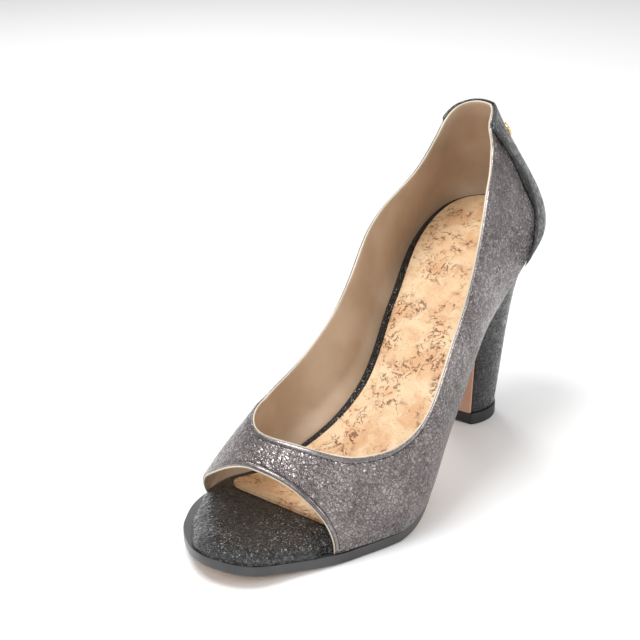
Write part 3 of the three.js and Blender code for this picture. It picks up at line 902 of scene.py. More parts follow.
@dataclass(frozen=True)
class GiltMetal:
    """Polished gilt metal with fine scratches."""

    name: str = "gilt metal"
    face: Colour = (0.83, 0.60, 0.25)

    def make(self, shop: Workshop) -> bpy.types.Material:
        """Returns the material."""
        material, graph, shader = shop.start(self.name, Metallic=1.0, Base_Color=self.face)
        place = graph.add("TexCoord").outputs["Object"]
        scratches = graph.noise(place, 900.0, 6.0)
        graph.feed(shader.inputs["Roughness"], graph.ramp(scratches.outputs[0], 0.3, 0.8, 0.16, 0.34))
        graph.feed(shader.inputs["Normal"], bump(graph, scratches.outputs[0], 0.01))
        return material


@dataclass
class Finishes:
    """All materials of the shoe."""

    shop: Workshop

    def __post_init__(self) -> None:
        """Makes each material."""
        pewter = CrinkledLeather(
            name="pewter crinkled leather",
            face=(0.34, 0.303, 0.3),
            hollow=(0.13, 0.112, 0.112),
            metallic=0.94,
            roughness=0.24,
            glint=0.08,
            cell=1.5,
            depth=0.36,
            edge_strip=2.0,
            edge_dark=0.15,
        )
        black = CrinkledLeather(
            name="black crinkled leather",
            face=(0.03, 0.031, 0.034),
            hollow=(0.0015, 0.0015, 0.0017),
            metallic=0.2,
            roughness=0.16,
            glint=0.08,
            cell=1.6,
            depth=0.85,
            gloss=0.9,
            scuff=0.2,
        )
        self.pewter = pewter.make(self.shop)
        self.black = black.make(self.shop)
        counter = replace(black, name="black counter leather", edge_strip=0.9, edge_dark=0.8)
        self.counter = counter.make(self.shop)
        self.lining = self.plain("kid lining", (0.52, 0.385, 0.265), (0.43, 0.3, 0.195), 0.62, sheen=0.15)
        self.cream = self.plain("cream edge", (0.68, 0.61, 0.50), (0.5, 0.43, 0.33), 0.5, grain=0.02)
        self.sole_edge = self.plain(
            "black sole edge", (0.045, 0.045, 0.048), (0.02, 0.02, 0.021), 0.38, coat=0.3
        )
        self.underside = self.plain(
            "tan sole leather", (0.50, 0.33, 0.2), (0.4, 0.25, 0.14), 0.55, grain=0.04
        )
        self.breast = self.plain("tan breast leather", (0.58, 0.33, 0.23), (0.49, 0.265, 0.175), 0.5)
        self.rubber = self.plain(
            "black rubber", (0.022, 0.022, 0.024), (0.014, 0.014, 0.015), 0.55, grain=0.05
        )
        self.thread = self.plain("dark thread", (0.05, 0.047, 0.05), (0.03, 0.03, 0.03), 0.6, grain=0.02)
        self.pale_thread = self.plain("pale thread", (0.85, 0.8, 0.72), (0.72, 0.66, 0.57), 0.6, grain=0.02)
        self.cork = CorkSheet().make(self.shop)
        self.gilt = GiltMetal().make(self.shop)

    def plain(
        self, name: str, face: Colour, shade: Colour, roughness: float, **more: float
    ) -> bpy.types.Material:
        """Returns a smooth leather, thread or rubber."""
        return SmoothLeather(name, face, shade, roughness, **more).make(self.shop)


# Pieces


@dataclass
class Upper:
    """The hollow upper: crinkled outside, lining, folded edges, bead and stitches."""

    last: Last
    wall: float = 1.6
    peep_from: float = 0.4
    peep_to: float = 0.6
    columns: int = 760
    middle_rows: int = 46
    lining_rows: int = 24
    lining_foot: float = 1.5
    lining_foot_reach: float = 13.0
    seam_in: float = 2.1
    seam_depth: float = 0.3
    seam_width: float = 0.3
    fold_bulge: float = 0.14
    fold_width: float = 0.5
    wave: tuple[float, float, float] = (13.0, 0.16, 3.1)
    calm_reach: float = 6.0
    far: float = 30.0
    bead_radius: float = 0.36
    bead_set: float = 0.62
    bead_out: float = 0.12
    bead_oval: float = 1.15
    bead_wave: tuple[float, float] = (0.06, 1.9)
    bead_sides: int = 10
    stitch_pitch: float = 2.1
    stitch_sink: float = 0.2
    stitch_size: Place = (0.72, 0.17, 0.15)
    dash_pitch: float = 1.9
    dash_in: float = -0.05
    dash_size: Place = (0.48, 0.42, 0.42)
    collar: dict[str, Curve] = field(init=False)
    peep: dict[str, Curve] = field(init=False)

    def __post_init__(self) -> None:
        """Makes the curves of both edges."""
        self.collar = row_curves(COLLAR_EDGE, "at across", by_order=True)
        self.peep = row_curves(PEEP_EDGE, "at across", by_order=True)

    def lower_edge(self, around: Array) -> tuple[Array, Array]:
        """Returns station and across of the lower edge, once round the shoe."""
        share = np.clip((around - self.peep_from) / (self.peep_to - self.peep_from), 0, 1)
        inner, outer = around < self.peep_from, around > self.peep_to
        at = np.where(inner, self.peep["at"](0) * around / self.peep_from, self.peep["at"](share))
        at = np.where(outer, self.peep["at"](1) * (1 - around) / (1 - self.peep_to), at)
        across = np.where(inner, -1.0, np.where(outer, 1.0, self.peep["across"](share)))
        return at, across

    def at_across(self, around: Array, up: Array) -> tuple[Array, Array]:
        """Returns station and across of a place on the upper."""
        low_at, low_across = self.lower_edge(around)
        return mix(low_at, self.collar["at"](around), up), mix(low_across, self.collar["across"](around), up)

    def point(self, around: Array, up: Array, distance: Array) -> Array:
        """Returns points on the upper, up being 0 at its lower edge and 1 at the collar."""
        return self.last.skin(*self.at_across(around, up), distance)

    def ups_at(
        self, around: Array, low: list[float], high: list[float], rows: int
    ) -> tuple[Array, Array, Array]:
        """Finds rows at true distances from both edges.

        Args:
            around: the columns.
            low: distances of rows from the lower edge, growing.
            high: distances of rows from the collar, falling.
            rows: how many rows lie between them.

        Returns:
            up of each row and column, its distance from the lower edge and from the collar.
        """
        ups = np.linspace(0, 1, 60)
        points = self.last.point(*self.at_across(around[:, None], ups[None, :]))
        steps = np.linalg.norm(np.diff(points, axis=1), axis=-1)
        run = np.concatenate([np.zeros((len(around), 1)), np.cumsum(steps, axis=1)], axis=1)
        result = []
        for column, length in enumerate(run):
            middle = np.linspace(low[-1], length[-1] - high[0], rows + 2)[1:-1]
            places = np.concatenate([low, middle, length[-1] - np.array(high)])
            result.append(places)
        places = np.array(result)
        total = run[:, -1:]
        up = np.array([np.interp(p, r, ups) for p, r in zip(places, run)])
        return up, places, total - places

    def peep_mask(self, around: Array) -> Array:
        """Returns 1 along the toe opening and 0 where the lower edge meets the sole."""
        reach = 0.004
        return smooth((around - self.peep_from) / reach) * smooth((self.peep_to - around) / reach)

    def creases(self, points: Array) -> Array:
        """Works out the rise and fall of the soft creases that wear has left.

        Args:
            points: places on the last, in millimetres.

        Returns:
            How far each place stands out, in millimetres.
        """
        rise = np.zeros(points.shape[:-1])
        for where_around, where_up, lean, half, width, depth in FLEX_CREASES:
            spots = np.array([where_around] * 2), np.array([where_up, where_up + 0.02])
            ends = self.last.point(*self.at_across(*spots))
            middle = ends[0]
            out = self.last.normal(*self.at_across(np.array([where_around]), np.array([where_up])))[0]
            steep = (ends[1] - middle) / np.linalg.norm(ends[1] - middle)
            level = np.cross(out, steep)
            angle = math.radians(lean)
            along = level * math.cos(angle) + steep * math.sin(angle)
            beside = np.cross(out, along)
            offset = points - middle
            near = np.exp(-((offset @ out / CREASE_REACH) ** 2))
            run = 1 - smooth(np.abs(offset @ along) / half)
            bow = (offset @ along / half) ** 2 * width * CREASE_BOW
            across = (offset @ beside + bow) / width
            banks = sum(np.exp(-((across + away) ** 2)) for away in (-CREASE_BANK_AWAY, CREASE_BANK_AWAY))
            trough = np.exp(-(across**2)) - CREASE_BANK * banks
            rise -= trough * depth * run * near
        return rise

    def build(self) -> bpy.types.Object:
        """Returns the shell with its folded edges."""
        around = np.arange(self.columns) / self.columns
        radius = self.wall / 2
        edge = list(FOLD_ROWS)
        low = [*FOLD_ROWS, *SEAM_ROWS]
        high = low[::-1]
        up, from_low, from_top = self.ups_at(around, low, high, self.middle_rows)
        mask = self.peep_mask(around)[:, None]
        depth = np.zeros_like(up)
        for gap, share in ((from_top, 1.0), (from_low, mask)):
            seam = np.exp(-(((gap - self.seam_in) / self.seam_width) ** 2)) * self.seam_depth
            past = (gap - self.seam_in + self.fold_width) / self.fold_width
            fold = (1 - smooth(past)) * self.fold_bulge
            depth = depth + (fold - seam) * share
        skin = self.last.point(*self.at_across(around[:, None], up))
        calm = smooth(from_top / self.calm_reach) * smooth(from_low / self.calm_reach)
        depth = depth + (waviness(skin, *self.wave) + self.creases(skin)) * calm
        for gap in (from_top, from_low):
            inside = np.clip(1 - gap / radius, 0, 1)
            depth = depth - radius * (1 - np.sqrt(1 - inside**2))
        outer = self.point(around[:, None], up, depth)
        up_in, low_in, top_in = self.ups_at(around, edge[1:], edge[:0:-1], self.lining_rows)
        foot = (1 - smooth(low_in / self.lining_foot_reach)) * (1 - mask)
        low_at, low_across = self.lower_edge(around)
        filled = self.lining_foot + self.last.arch_fill(low_at, low_across)[:, None]
        depth_in = -self.wall - filled * foot
        for gap in (top_in, low_in):
            inside = np.clip(1 - gap / radius, 0, 1)
            depth_in = depth_in + radius * (1 - np.sqrt(1 - inside**2))
        inner = self.point(around[:, None], up_in, depth_in)
        rings = np.concatenate([outer, inner[:, ::-1]], axis=1)
        outer_gap = np.minimum(from_top, mix(self.far, from_low, mask))
        edge_gap = np.concatenate([outer_gap, top_in[:, ::-1]], axis=1)
        finish = np.zeros(rings.shape[1] + 1, int)
        finish[up.shape[1] - 1 :] = 1
        return lay_grid("upper_shell", rings, looped=True, finish_rows=finish, marks={"edge_gap": edge_gap})

    def edge_path(self, on_collar: bool, count: int) -> tuple[Array, Array]:
        """Returns around and up of evenly spaced places along the collar or the toe opening."""
        around = np.linspace(0, 1, 1500) if on_collar else np.linspace(self.peep_from, self.peep_to, 800)
        up = np.full_like(around, float(on_collar))
        points = self.point(around, up, np.zeros_like(around))
        run = np.concatenate([[0], np.cumsum(np.linalg.norm(np.diff(points, axis=0), axis=-1))])
        places = np.interp(np.linspace(0, run[-1], count), run, around)
        return places, np.full(count, float(on_collar))

    def bead(self, name: str, on_collar: bool, count: int) -> bpy.types.Object:
        """Returns the pale bead that shows between leather and lining along an edge."""
        around, up = self.edge_path(on_collar, count)
        middle = self.point(around, up, np.full(count, -self.bead_set * self.wall))
        out = self.last.normal(*self.at_across(around, up))
        along = np.gradient(middle, axis=0)
        if on_collar:
            along[0] = along[-1] = middle[1] - middle[-2]
        along /= np.linalg.norm(along, axis=-1, keepdims=True)
        off = np.cross(along, out) * (-1 if on_collar else 1)
        off /= np.linalg.norm(off, axis=-1, keepdims=True)
        turns = np.linspace(0, 2 * np.pi, self.bead_sides + 1)[:-1]
        centre = middle + off * self.bead_out
        height, turn = self.bead_wave
        radius = self.bead_radius * (1 + height * np.sin(np.arange(count) * turn))[:, None, None]
        cos, sin = np.cos(turns)[None, :, None], np.sin(turns)[None, :, None]
        circle = cos * out[:, None] * self.bead_oval + sin * off[:, None]
        rings = centre[:, None] + circle * radius
        if on_collar:
            return lay_grid(name, rings[:-1], looped=True)
        return lay_grid(name, rings)

    def stitches(
        self, name: str, on_collar: bool, inset: float, pitch: float, distance: float, size: Place
    ) -> bpy.types.Object:
        """Lays a row of stitches along an edge.

        Args:
            name: the piece's name.
            on_collar: whether it follows the collar or the toe opening.
            inset: distance from the edge.
            pitch: distance from one stitch to the next.
            distance: height of the thread over the leather.
            size: half length, half width and half height of a stitch.

        Returns:
            The row.
        """
        around, _ = self.edge_path(on_collar, 900)
        wanted = [inset]
        ups, _, _ = self.ups_at(around, [0.0] if on_collar else wanted, wanted if on_collar else [0.0], 1)
        up = ups[:, -1] if on_collar else ups[:, 0]
        line = self.point(around, up, np.full_like(up, distance))
        run = np.concatenate([[0], np.cumsum(np.linalg.norm(np.diff(line, axis=0), axis=-1))])
        count = int(run[-1] / pitch)
        middles = (np.arange(count) + 0.5) * run[-1] / count
        points = np.stack([np.interp(middles, run, line[:, k]) for k in range(3)], -1)
        along = np.stack([np.interp(middles, run, np.gradient(line[:, k])) for k in range(3)], -1)
        where = np.interp(middles, run, around)
        out = self.last.normal(*self.at_across(where, np.interp(where, around, up)))
        return repeat_along(name, points, along, out, np.array(size))

    def make(self, finishes: Finishes) -> None:
        """Builds and dresses every part of the upper."""
        dress(self.build(), "pewter_leather", finishes.pewter, finishes.lining, replaces="upper")
        beads = {True: self.bead("collar_bead", True, 900), False: self.bead("peep_bead", False, 320)}
        bead_middle = -self.bead_set * self.wall
        for on_collar, edge in ((True, "collar"), (False, "peep")):
            dress(beads[on_collar], "pewter_leather", finishes.cream)
            seam = self.stitches(
                edge + "_stitches",
                on_collar,
                self.seam_in,
                self.stitch_pitch,
                -self.stitch_sink,
                self.stitch_size,
            )
            dress(seam, "pewter_leather", finishes.thread)
            dashes = self.stitches(
                edge + "_dashes", on_collar, self.dash_in, self.dash_pitch, bead_middle, self.dash_size
            )
            dress(dashes, "pewter_leather", finishes.pale_thread)


@dataclass
class BackCounter:
    """The black leaf over the back of the upper, with a dark strip along its cut front edge."""

    upper: Upper
    fit: float = 0.3
    wall: float = 1.0
    heel_rows: int = 4
    round_edge: float = 0.55
    ridge_in: float = 1.0
    ridge_width: float = 0.5
    ridge_height: float = 0.12
    ridge_from: float = 0.3
    wave: tuple[float, float, float] = (11.0, 0.1, 8.4)
    calm_reach: float = 4.0
    sink: float = 0.15
    foot_share: float = 0.25
    foot_taper: float = 4.0
    front: Curve = field(init=False)

    def __post_init__(self) -> None:
        """Makes the curve of the front edge."""
        self.front = row_curves(COUNTER_FRONT, "up at")["at"]

    def point(self, at: Array, side: Array, up: Array, distance: Array) -> Array:
        """Returns points on the back of the upper."""
        share = self.heel_rows / (len(COLLAR_EDGE) - 1)
        around = share * at / COLLAR_EDGE[self.heel_rows][0]
        collar = self.upper.collar["across"](np.where(side < 0, around, 1 - around))
        return self.upper.last.skin(at, mix(side, collar, up), distance)

    def on_leaf(self, share: Array, up: Array, distance: Array) -> Array:
        """Returns points on the leaf, share being -1 at its inner front edge and 1 at its outer one."""
        side = np.where(share < 0, -1.0, 1.0)
        return self.point(self.front(up) * np.abs(share), side, up, distance)

    def build(self) -> bpy.types.Object:
        """Returns the leaf with rounded edges."""
        near = np.array([0, 0.0012, 0.004, 0.009, 0.016, 0.03, 0.05])
        share = np.concatenate([-1 + near, np.linspace(-0.94, 0.94, 170), 1 - near[::-1]])
        near_up = np.array([0, 0.0012, 0.004, 0.009, 0.016, 0.03])
        up = np.concatenate([near_up, np.linspace(0.045, 0.955, 70), 1 - near_up[::-1]])
        grid_share, grid_up = np.meshgrid(share, up, indexing="ij")
        skin = self.on_leaf(grid_share, grid_up, np.full(grid_share.shape, self.fit))
        across_run = np.linalg.norm(np.diff(skin, axis=0), axis=-1)
        up_run = np.linalg.norm(np.diff(skin, axis=1), axis=-1)
        from_start = np.concatenate([np.zeros((1, len(up))), np.cumsum(across_run, axis=0)])
        from_foot = np.concatenate([np.zeros((len(share), 1)), np.cumsum(up_run, axis=1)], axis=1)
        side_gap = np.minimum(from_start, from_start[-1:] - from_start)
        end_gap = np.minimum(from_foot, from_foot[:, -1:] - from_foot)
        gap = np.minimum(side_gap, end_gap)
        inside = np.clip(1 - gap / self.round_edge, 0, 1)
        thick = self.wall - self.round_edge * (1 - np.sqrt(1 - inside**2))
        thick = thick * mix(self.foot_share, 1.0, smooth(from_foot / self.foot_taper))
        ridge = np.exp(-(((side_gap - self.ridge_in) / self.ridge_width) ** 2)) * self.ridge_height
        waves = waviness(skin, *self.wave) * smooth(gap / self.calm_reach)
        thick = thick + ridge * (gap > self.ridge_from) + waves
        outer = self.on_leaf(grid_share, grid_up, self.fit + thick)
        inner = self.on_leaf(grid_share, grid_up, np.full(grid_share.shape, self.fit - self.sink))
        rings = np.concatenate([outer, inner[:, ::-1]], axis=1)
        marks = {"edge_gap": np.concatenate([side_gap, np.zeros_like(gap)], axis=1)}
        return lay_grid("counter_leaf", rings, marks=marks)

    def make(self, finishes: Finishes) -> None:
        """Builds and dresses the leaf."""
        dress(self.build(), "black_leather", finishes.counter, replaces="back_counter")


@dataclass
class BackPlaque:
    """A small plain gilt plaque at the middle of the back."""

    counter: BackCounter
    width: float = 13.0
    height: float = 7.0
    thickness: float = 1.1
    drop: float = 9.0
    around_steps: int = 72

    def build(self) -> bpy.types.Object:
        """Returns the plaque, an oval cushion with a raised rim."""
        rest = 2 * self.counter.fit + self.counter.wall
        ends = self.counter.point(np.zeros(2), np.ones(2), np.array([0.0, 1.0]), np.zeros(2))
        run = float(np.linalg.norm(ends[1] - ends[0]))
        middle = 1 - (self.drop + self.height / 2) / run
        trial = 0.05
        beside = self.counter.point(np.array([trial]), np.ones(1), np.array([middle]), np.array([rest]))[0, 0]
        turn = np.linspace(0, 2 * np.pi, self.around_steps + 1)[:-1]
        rings = []
        for size, thick in PLAQUE_RINGS:
            x = size * np.cos(turn) * self.width / 2
            z = size * np.sin(turn) * self.height / 2
            side = np.where(x < 0, -1.0, 1.0)
            distance = np.full_like(x, rest + thick * self.thickness)
            rings.append(self.counter.point(np.abs(x) * trial / beside, side, middle + z / run, distance))
        return lay_grid("plaque_oval", np.array(rings))

    def make(self, finishes: Finishes) -> None:
        """Builds and dresses the plaque."""
        dress(self.build(), "gilt", finishes.gilt, replaces="back_plaque")


@dataclass
class Layers:
    """The flat pieces under the foot: footbed, cork sock and outsole."""

    last: Last
    fit: float = 0.3
    wall: float = 1.6
    outsole_thickness: float = 4.2
    outsole_round: float = 0.8
    outsole_top_round: float = 0.25
    outsole_lift: float = 0.2
    footbed_thickness: float = 4.4
    footbed_round: float = 1.6
    rim_thickness: float = 6.6
    rim_overhang: float = 0.6
    rim_round: float = 5.4
    rim_lean: float = 2.3
    rim_blend: tuple[float, float] = (45.0, 6.0)
    shoulder: float = 1.8
    shoulder_start: tuple[float, float] = (0.7, 0.06)
    shoulder_end: tuple[float, float] = (0.84, 0.1)
    rim_ramp: float = 25.0
    cork_thickness: float = 1.1
    cork_margin: float = 4.2
    cork_corner: float = 10.0
    cork_round: float = 0.35
    cork_sink: float = 0.25
    cork_crowding: float = 1.15
    cork_front: tuple[float, float] = (0.688, 0.727)
    steps: int = 260
    across_steps: int = 18
    round_steps: int = 9

    def ring(
        self,
        at: tuple[Array, Array],
        inset: Callable[[Array, int], Array],
        bottom: ByStation,
        top: ByStation,
        round_top: ByStation,
        round_bottom: ByStation,
        lean: ByStation = np.ones_like,
    ) -> Array:
        """Lays cross sections of a layer: underside, outer side, top, inner side.

        Args:
            at: stations of each section on the inner and on the outer side.
            inset: a function of station and side, in from the feather edge.
            bottom: height of the underside by station.
            top: height of the top by station.
            round_top: radius of the upper edges by station.
            round_bottom: radius of the lower edges by station.
            lean: how many times wider than high the upper rounding is, by station.

        Returns:
            The rings of points.
        """
        turn = np.linspace(0, np.pi / 2, self.round_steps)

        def rounded(side: int, round_by: ByStation, height: ByStation, sign: int) -> list[Array]:
            """Returns the rows of one rounded edge, sign being 1 for an upper edge."""
            stations = at[0] if side < 0 else at[1]
            radius = round_by(stations)
            width = radius * lean(stations) if sign > 0 else radius
            sides = np.full_like(stations, side)
            line = []
            for angle in turn:
                more = width * (1 - math.cos(angle))
                plan = self.last.inset_plan(stations, sides, inset(stations, side) + more)
                points = self.last.place(plan, height(self.last.station_of(plan[..., 1])))
                points[..., 2] -= sign * radius * (1 - math.sin(angle))
                line.append(points)
            return line

        def between(start: Array, end: Array) -> list[Array]:
            """Returns the flat rows from one rounded edge to the other."""
            shares = np.linspace(0, 1, self.across_steps)[1:-1]
            return [mix(start, end, share) for share in shares]

        low_in, low_out = rounded(-1, round_bottom, bottom, -1), rounded(1, round_bottom, bottom, -1)
        high_in, high_out = rounded(-1, round_top, top, 1), rounded(1, round_top, top, 1)
        low = [*low_in, *between(low_in[-1], low_out[-1]), *low_out[::-1]]
        high = [*high_in, *between(high_in[-1], high_out[-1]), *high_out[::-1]]
        return np.stack([*low, *high[::-1]], 1)

    def rim_start(self, side: int) -> float:
        """Returns the plan length at which the footbed widens towards the open toe."""
        rows = [row[0] for row in PEEP_EDGE if row[1] * side > 0.5]
        return float(self.last.length_of(max(rows))) + self.wall

    def footbed_inset(self, at: Array, side: int) -> Array:
        """Returns how far in from the feather edge the footbed's edge lies."""
        blend = self.rim_blend[0] if side < 0 else self.rim_blend[1]
        share = smooth((self.last.length_of(at) - self.rim_start(side)) / blend)
        edge = mix(self.wall + self.fit, -self.rim_overhang, share)
        if side > 0:
            return edge
        rise = smooth((at - self.shoulder_start[0]) / self.shoulder_start[1])
        fall = 1 - smooth((at - self.shoulder_end[0]) / self.shoulder_end[1])
        return edge + self.shoulder * rise * fall

    def rim_share(self, at: Array) -> Array:
        """Returns 0 along the footbed and 1 at its toe rim."""
        return smooth((self.last.length_of(at) - self.rim_start(-1) + self.rim_ramp) / self.rim_ramp)

    def footbed_top(self, at: Array) -> Array:
        """Returns the height of the footbed's top."""
        thickness = mix(self.footbed_thickness, self.rim_thickness, self.rim_share(at))
        return self.last.feather_height(at) + thickness

    def footbed(self) -> bpy.types.Object:
        """Returns the wrapped footbed."""
        at = np.linspace(0, 1, self.steps)
        rings = self.ring(
            (at, at),
            self.footbed_inset,
            self.last.feather_height,
            self.footbed_top,
            lambda stations: mix(self.footbed_round, self.rim_round, self.rim_share(stations)),
            np.zeros_like,
            lambda stations: mix(1.0, self.rim_lean, self.rim_share(stations)),
        )
        return lay_grid("footbed_wrap", rings)

    def cork_inset(self, at: Array, side: int) -> Array:
        """Returns how far in from the feather edge the cork's edge lies."""
        end = self.last.length_of(self.cork_front[0] if side < 0 else self.cork_front[1])
        past = np.clip((self.last.length_of(at) - end + self.cork_corner) / self.cork_corner, 0, 1)
        corner = self.cork_corner * (1 - np.sqrt(1 - past**2))
        return self.wall + self.fit + self.cork_margin + self.last.arch_fill(at, side) + corner

    def cork(self) -> bpy.types.Object:
        """Returns the cork sock."""
        share = 1 - (1 - np.linspace(0, 1, self.steps)) ** self.cork_crowding
        lift = self.fit - self.cork_sink
        rings = self.ring(
            (share * self.cork_front[0], share * self.cork_front[1]),
            self.cork_inset,
            lambda at: self.footbed_top(at) + lift,
            lambda at: self.footbed_top(at) + self.fit + self.cork_thickness,
            lambda at: np.full_like(at, self.cork_round),
            np.zeros_like,
        )
        return lay_grid("cork_leaf", rings)

    def outsole(self, front_length: float) -> bpy.types.Object:
        """Returns the outsole, which starts at the heel's front."""
        out = row_curves(OUTSOLE_OUTLINE, "at out")["out"]
        length = front_length + self.fit
        first = self.last.station_of(length)
        back = min(
            float(self.last.inset_plan(first, np.array(float(side)), -out(first))[1]) for side in (-1, 1)
        )
        at = np.linspace(float(self.last.station_of(2 * length - back)), 1, self.steps)
        rings = self.ring(
            (at, at),
            lambda stations, side: -out(stations),
            lambda stations: self.last.feather_height(stations) - self.fit - self.outsole_thickness,
            lambda stations: self.last.feather_height(stations) - self.fit + self.outsole_lift,
            lambda stations: np.full_like(stations, self.outsole_top_round),
            lambda stations: np.full_like(stations, self.outsole_round),
        )
        finish = np.zeros(rings.shape[1] + 1, int)
        finish[self.round_steps : self.round_steps + self.across_steps - 2] = 1
        return lay_grid("outsole_leaf", rings, finish_rows=finish)

    def make(self, finishes: Finishes, heel: "Heel") -> None:
        """Builds and dresses the three layers."""
        dress(self.footbed(), "black_leather", finishes.black, replaces="footbed")
        dress(self.cork(), "cork", finishes.cork, replaces="cork_sock")
        dress(
            self.outsole(heel.front_length()),
            "sole_leather",
            finishes.sole_edge,
            finishes.underside,
            replaces="outsole",
        )


@dataclass
class Heel:
    """The covered heel with its front cover and its tip."""

    last: Last
    fit: float = 0.3
    top_length: float = 50.0
    top_inset: float = 1.0
    tip_width: float = 26.0
    tip_length: float = 26.0
    tip_thickness: float = 5.6
    tip_proud: float = 0.5
    tip_tuck: float = 0.75
    breast_thickness: float = 1.1
    breast_margin: float = 0.012
    breast_sink: float = 0.25
    breast_round: float = 0.4
    cover_round: float = 0.7
    lift_round: float = 0.45
    curve: float = 0.45
    corner_curve: float = 0.85
    flare: float = 5.0
    outsole_thickness: float = 4.2
    around_steps: int = 90
    front_steps: int = 14
    up_steps: int = 120

    def tip_outline(self, share: Array, proud: float = 0.0) -> Array:
        """Returns plan points of the tip, share running from its outer to its inner front corner."""
        turn = mix(-self.tip_tuck, np.pi + self.tip_tuck, share)
        front = math.sin(-self.tip_tuck)
        behind = (np.sin(turn) - front) / (1 - front) - 0.5
        x = (self.tip_width / 2 + proud) * np.cos(turn)
        return np.stack([x, (self.tip_length + 2 * proud) * behind], -1)

    def seat_outline(self, share: Array) -> Array:
        """Returns the points where the heel meets the seat."""
        at = float(self.last.station_of(self.top_length)) * np.abs(1 - 2 * share)
        side = np.where(share < 0.5, 1.0, -1.0)
        plan = self.last.inset_plan(at, side, np.full_like(at, self.top_inset))
        return self.last.place(plan, self.last.feather_height(self.last.station_of(plan[..., 1])) - self.fit)

    def point(self, share: Array, up: Array) -> Array:
        """Returns points on the heel's side, up running from the tip to the seat."""
        low, high = self.tip_outline(share), self.seat_outline(share)
        late = mix(self.curve, self.corner_curve, (1 - 2 * share) ** 4)
        flare = mix(up, up**self.flare, late)
        foot = self.tip_thickness + self.fit
        plan = mix(low, high[..., :2], flare[..., None])
        return np.concatenate([plan, mix(foot, high[..., 2], up)[..., None]], -1)

    def front(self, share: Array, up: Array, forward: float = 0.0) -> Array:
        """Returns points across the heel's front face."""
        inner = self.point(np.ones_like(up), up)
        outer = self.point(np.zeros_like(up), up)
        points = mix(inner, outer, share[..., None])
        points[..., 1] -= forward
        return points

    def front_length(self) -> float:
        """Returns the plan length of the heel's front at the seat."""
        corners = self.point(np.array([0.0, 1.0]), np.ones(2))
        return self.last.heel_tip_set - float(corners[:, 1].min())

    def breast_top(self) -> float:
        """Returns the share of the heel's height at which its front cover ends."""
        station = self.last.station_of(self.front_length() + self.fit + self.breast_thickness)
        ceiling = float(self.last.feather_height(station)) - 2 * self.fit - self.outsole_thickness
        foot = self.tip_thickness + self.fit
        corner = self.point(np.ones(1), np.ones(1))[0, 2]
        return (ceiling - foot) / (corner - foot)

    def cover(self) -> bpy.types.Object:
        """Returns the covered heel block."""
        ups = np.linspace(0, 1, self.up_steps)
        shares = np.linspace(0, 1, self.around_steps)
        cross = np.linspace(0, 1, self.front_steps)[1:-1]
        side_up, side_share = np.meshgrid(ups, shares, indexing="ij")
        front_up, front_share = np.meshgrid(ups, cross, indexing="ij")
        rings = np.concatenate([self.point(side_share, side_up), self.front(front_share, front_up)], axis=1)
        piece = lay_grid("heel_cover", rings)
        apply_bevel(piece, self.cover_round)
        return piece

    def breast(self) -> bpy.types.Object:
        """Returns the tan cover on the heel's front."""
        ups = np.linspace(0, self.breast_top(), self.up_steps)
        shares = np.linspace(self.breast_margin, 1 - self.breast_margin, self.front_steps)
        grid_up, grid_share = np.meshgrid(ups, shares, indexing="ij")
        back = self.front(grid_share, grid_up, self.fit - self.breast_sink)
        face = self.front(grid_share, grid_up, self.fit + self.breast_thickness)
        piece = lay_grid("breast_cover", np.concatenate([back, face[:, ::-1]], axis=1))
        apply_bevel(piece, self.breast_round)
        return piece

    def top_lift(self) -> bpy.types.Object:
        """Returns the rubber tip."""
        outline = self.tip_outline(np.linspace(0, 1, self.around_steps), self.tip_proud)
        heights = np.linspace(0, self.tip_thickness, 5)
        rings = np.stack([np.column_stack([outline, np.full(len(outline), z)]) for z in heights])
        piece = lay_grid("lift_block", rings)
        apply_bevel(piece, self.lift_round)
        return piece

    def make(self, finishes: Finishes) -> None:
        """Builds and dresses the heel's pieces."""
        dress(self.cover(), "black_leather", finishes.black, replaces="heel")
        dress(self.breast(), "tan_leather", finishes.breast, replaces="heel_breast")
        dress(self.top_lift(), "rubber", finishes.rubber, replaces="top_lift")


# Studio

# The soft lights: place and size in metres, power in watts
LIGHTS = (
    # name, place, size, power
    ("key", (-0.22, -0.37, 1.1), 0.6, 8.5),
    ("back", (-0.85, 0.7, 1.05), 0.5, 5.5),
    ("front", (0.35, -1.3, 0.9), 1.1, 6.0),
    ("side", (1.2, 0.1, 0.7), 0.8, 5.0),
)


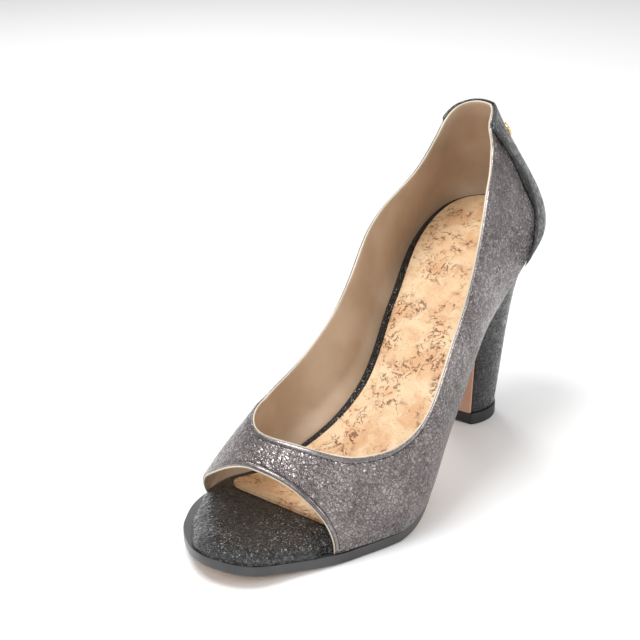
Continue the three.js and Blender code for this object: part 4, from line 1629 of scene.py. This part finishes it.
@dataclass
class Studio:
    """The pale floor, the soft lights and the camera."""

    azimuth: float = 36.4
    elevation: float = 21.74
    roll: float = -0.4
    distance: float = 538.0
    focal: float = 1289.2
    aside: float = 23.26
    lift: float = -11.37
    target: Place = (0.0, -80.0, 60.0)
    image_side: float = 640.0
    sensor: float = 36.0
    sky_strength: float = 0.62
    light_aim: Place = (0.0, -0.08, 0.05)

    def camera(self) -> None:
        """Sets the camera at the photo's angle to the shoe."""
        turn, tilt, roll = (math.radians(v) for v in (self.azimuth, self.elevation, self.roll))
        back = Vector((math.sin(turn) * math.cos(tilt), -math.cos(turn) * math.cos(tilt), math.sin(tilt)))
        level = Vector((math.cos(turn), math.sin(turn), 0.0))
        above = back.cross(level)
        right = level * math.cos(roll) + above * math.sin(roll)
        up = above * math.cos(roll) - level * math.sin(roll)
        place = Vector(self.target) + back * self.distance - right * self.aside - up * self.lift
        data = bpy.data.cameras.new("camera")
        data.sensor_width = self.sensor
        data.lens = self.focal * self.sensor / self.image_side
        data.clip_start = 0.01
        camera = bpy.data.objects.new("camera", data)
        bpy.context.scene.collection.objects.link(camera)
        axes = Matrix((right, up, back)).transposed().to_4x4()
        camera.matrix_world = Matrix.Translation(place * MM) @ axes
        bpy.context.scene.camera = camera

    def floor(self) -> None:
        """Lays the pale floor."""
        select_only()
        bpy.ops.mesh.primitive_plane_add(size=12.0, location=(0, 0, -0.0001))
        floor = bpy.context.active_object
        floor.name = "floor"
        material = bpy.data.materials.new("pale floor")
        material.use_nodes = True
        shader = material.node_tree.nodes["Principled BSDF"]
        shader.inputs["Base Color"].default_value = (0.9, 0.9, 0.9, 1)
        shader.inputs["Roughness"].default_value = 0.55
        shader.inputs["Specular IOR Level"].default_value = 0.2
        floor.data.materials.append(material)

    def light(self, name: str, place: Place, size: float, power: float) -> None:
        """Adds a soft light that faces the shoe."""
        data = bpy.data.lights.new(name, "AREA")
        data.shape = "DISK"
        data.size = size
        data.energy = power
        light = bpy.data.objects.new(name, data)
        bpy.context.scene.collection.objects.link(light)
        light.location = place
        aim = Vector(self.light_aim) - Vector(place)
        light.rotation_euler = aim.to_track_quat("-Z", "Y").to_euler()

    def make(self) -> None:
        """Builds the studio."""
        self.camera()
        self.floor()
        world = bpy.data.worlds.new("studio")
        world.use_nodes = True
        sky = world.node_tree.nodes["Background"]
        sky.inputs[0].default_value = (1.0, 1.0, 1.0, 1)
        sky.inputs[1].default_value = self.sky_strength
        bpy.context.scene.world = world
        for row in LIGHTS:
            self.light(*row)
        bpy.context.scene.view_settings.view_transform = "Standard"


def main() -> None:
    """Builds the studio and the shoe, piece by piece."""
    logging.basicConfig(level=logging.INFO, format="%(name)s %(message)s")
    Studio().make()
    finishes = Finishes(Workshop())
    last = Last()
    upper = Upper(last)
    upper.make(finishes)
    counter = BackCounter(upper)
    counter.make(finishes)
    BackPlaque(counter).make(finishes)
    heel = Heel(last)
    Layers(last).make(finishes, heel)
    heel.make(finishes)


if __name__ == "__main__":
    main()
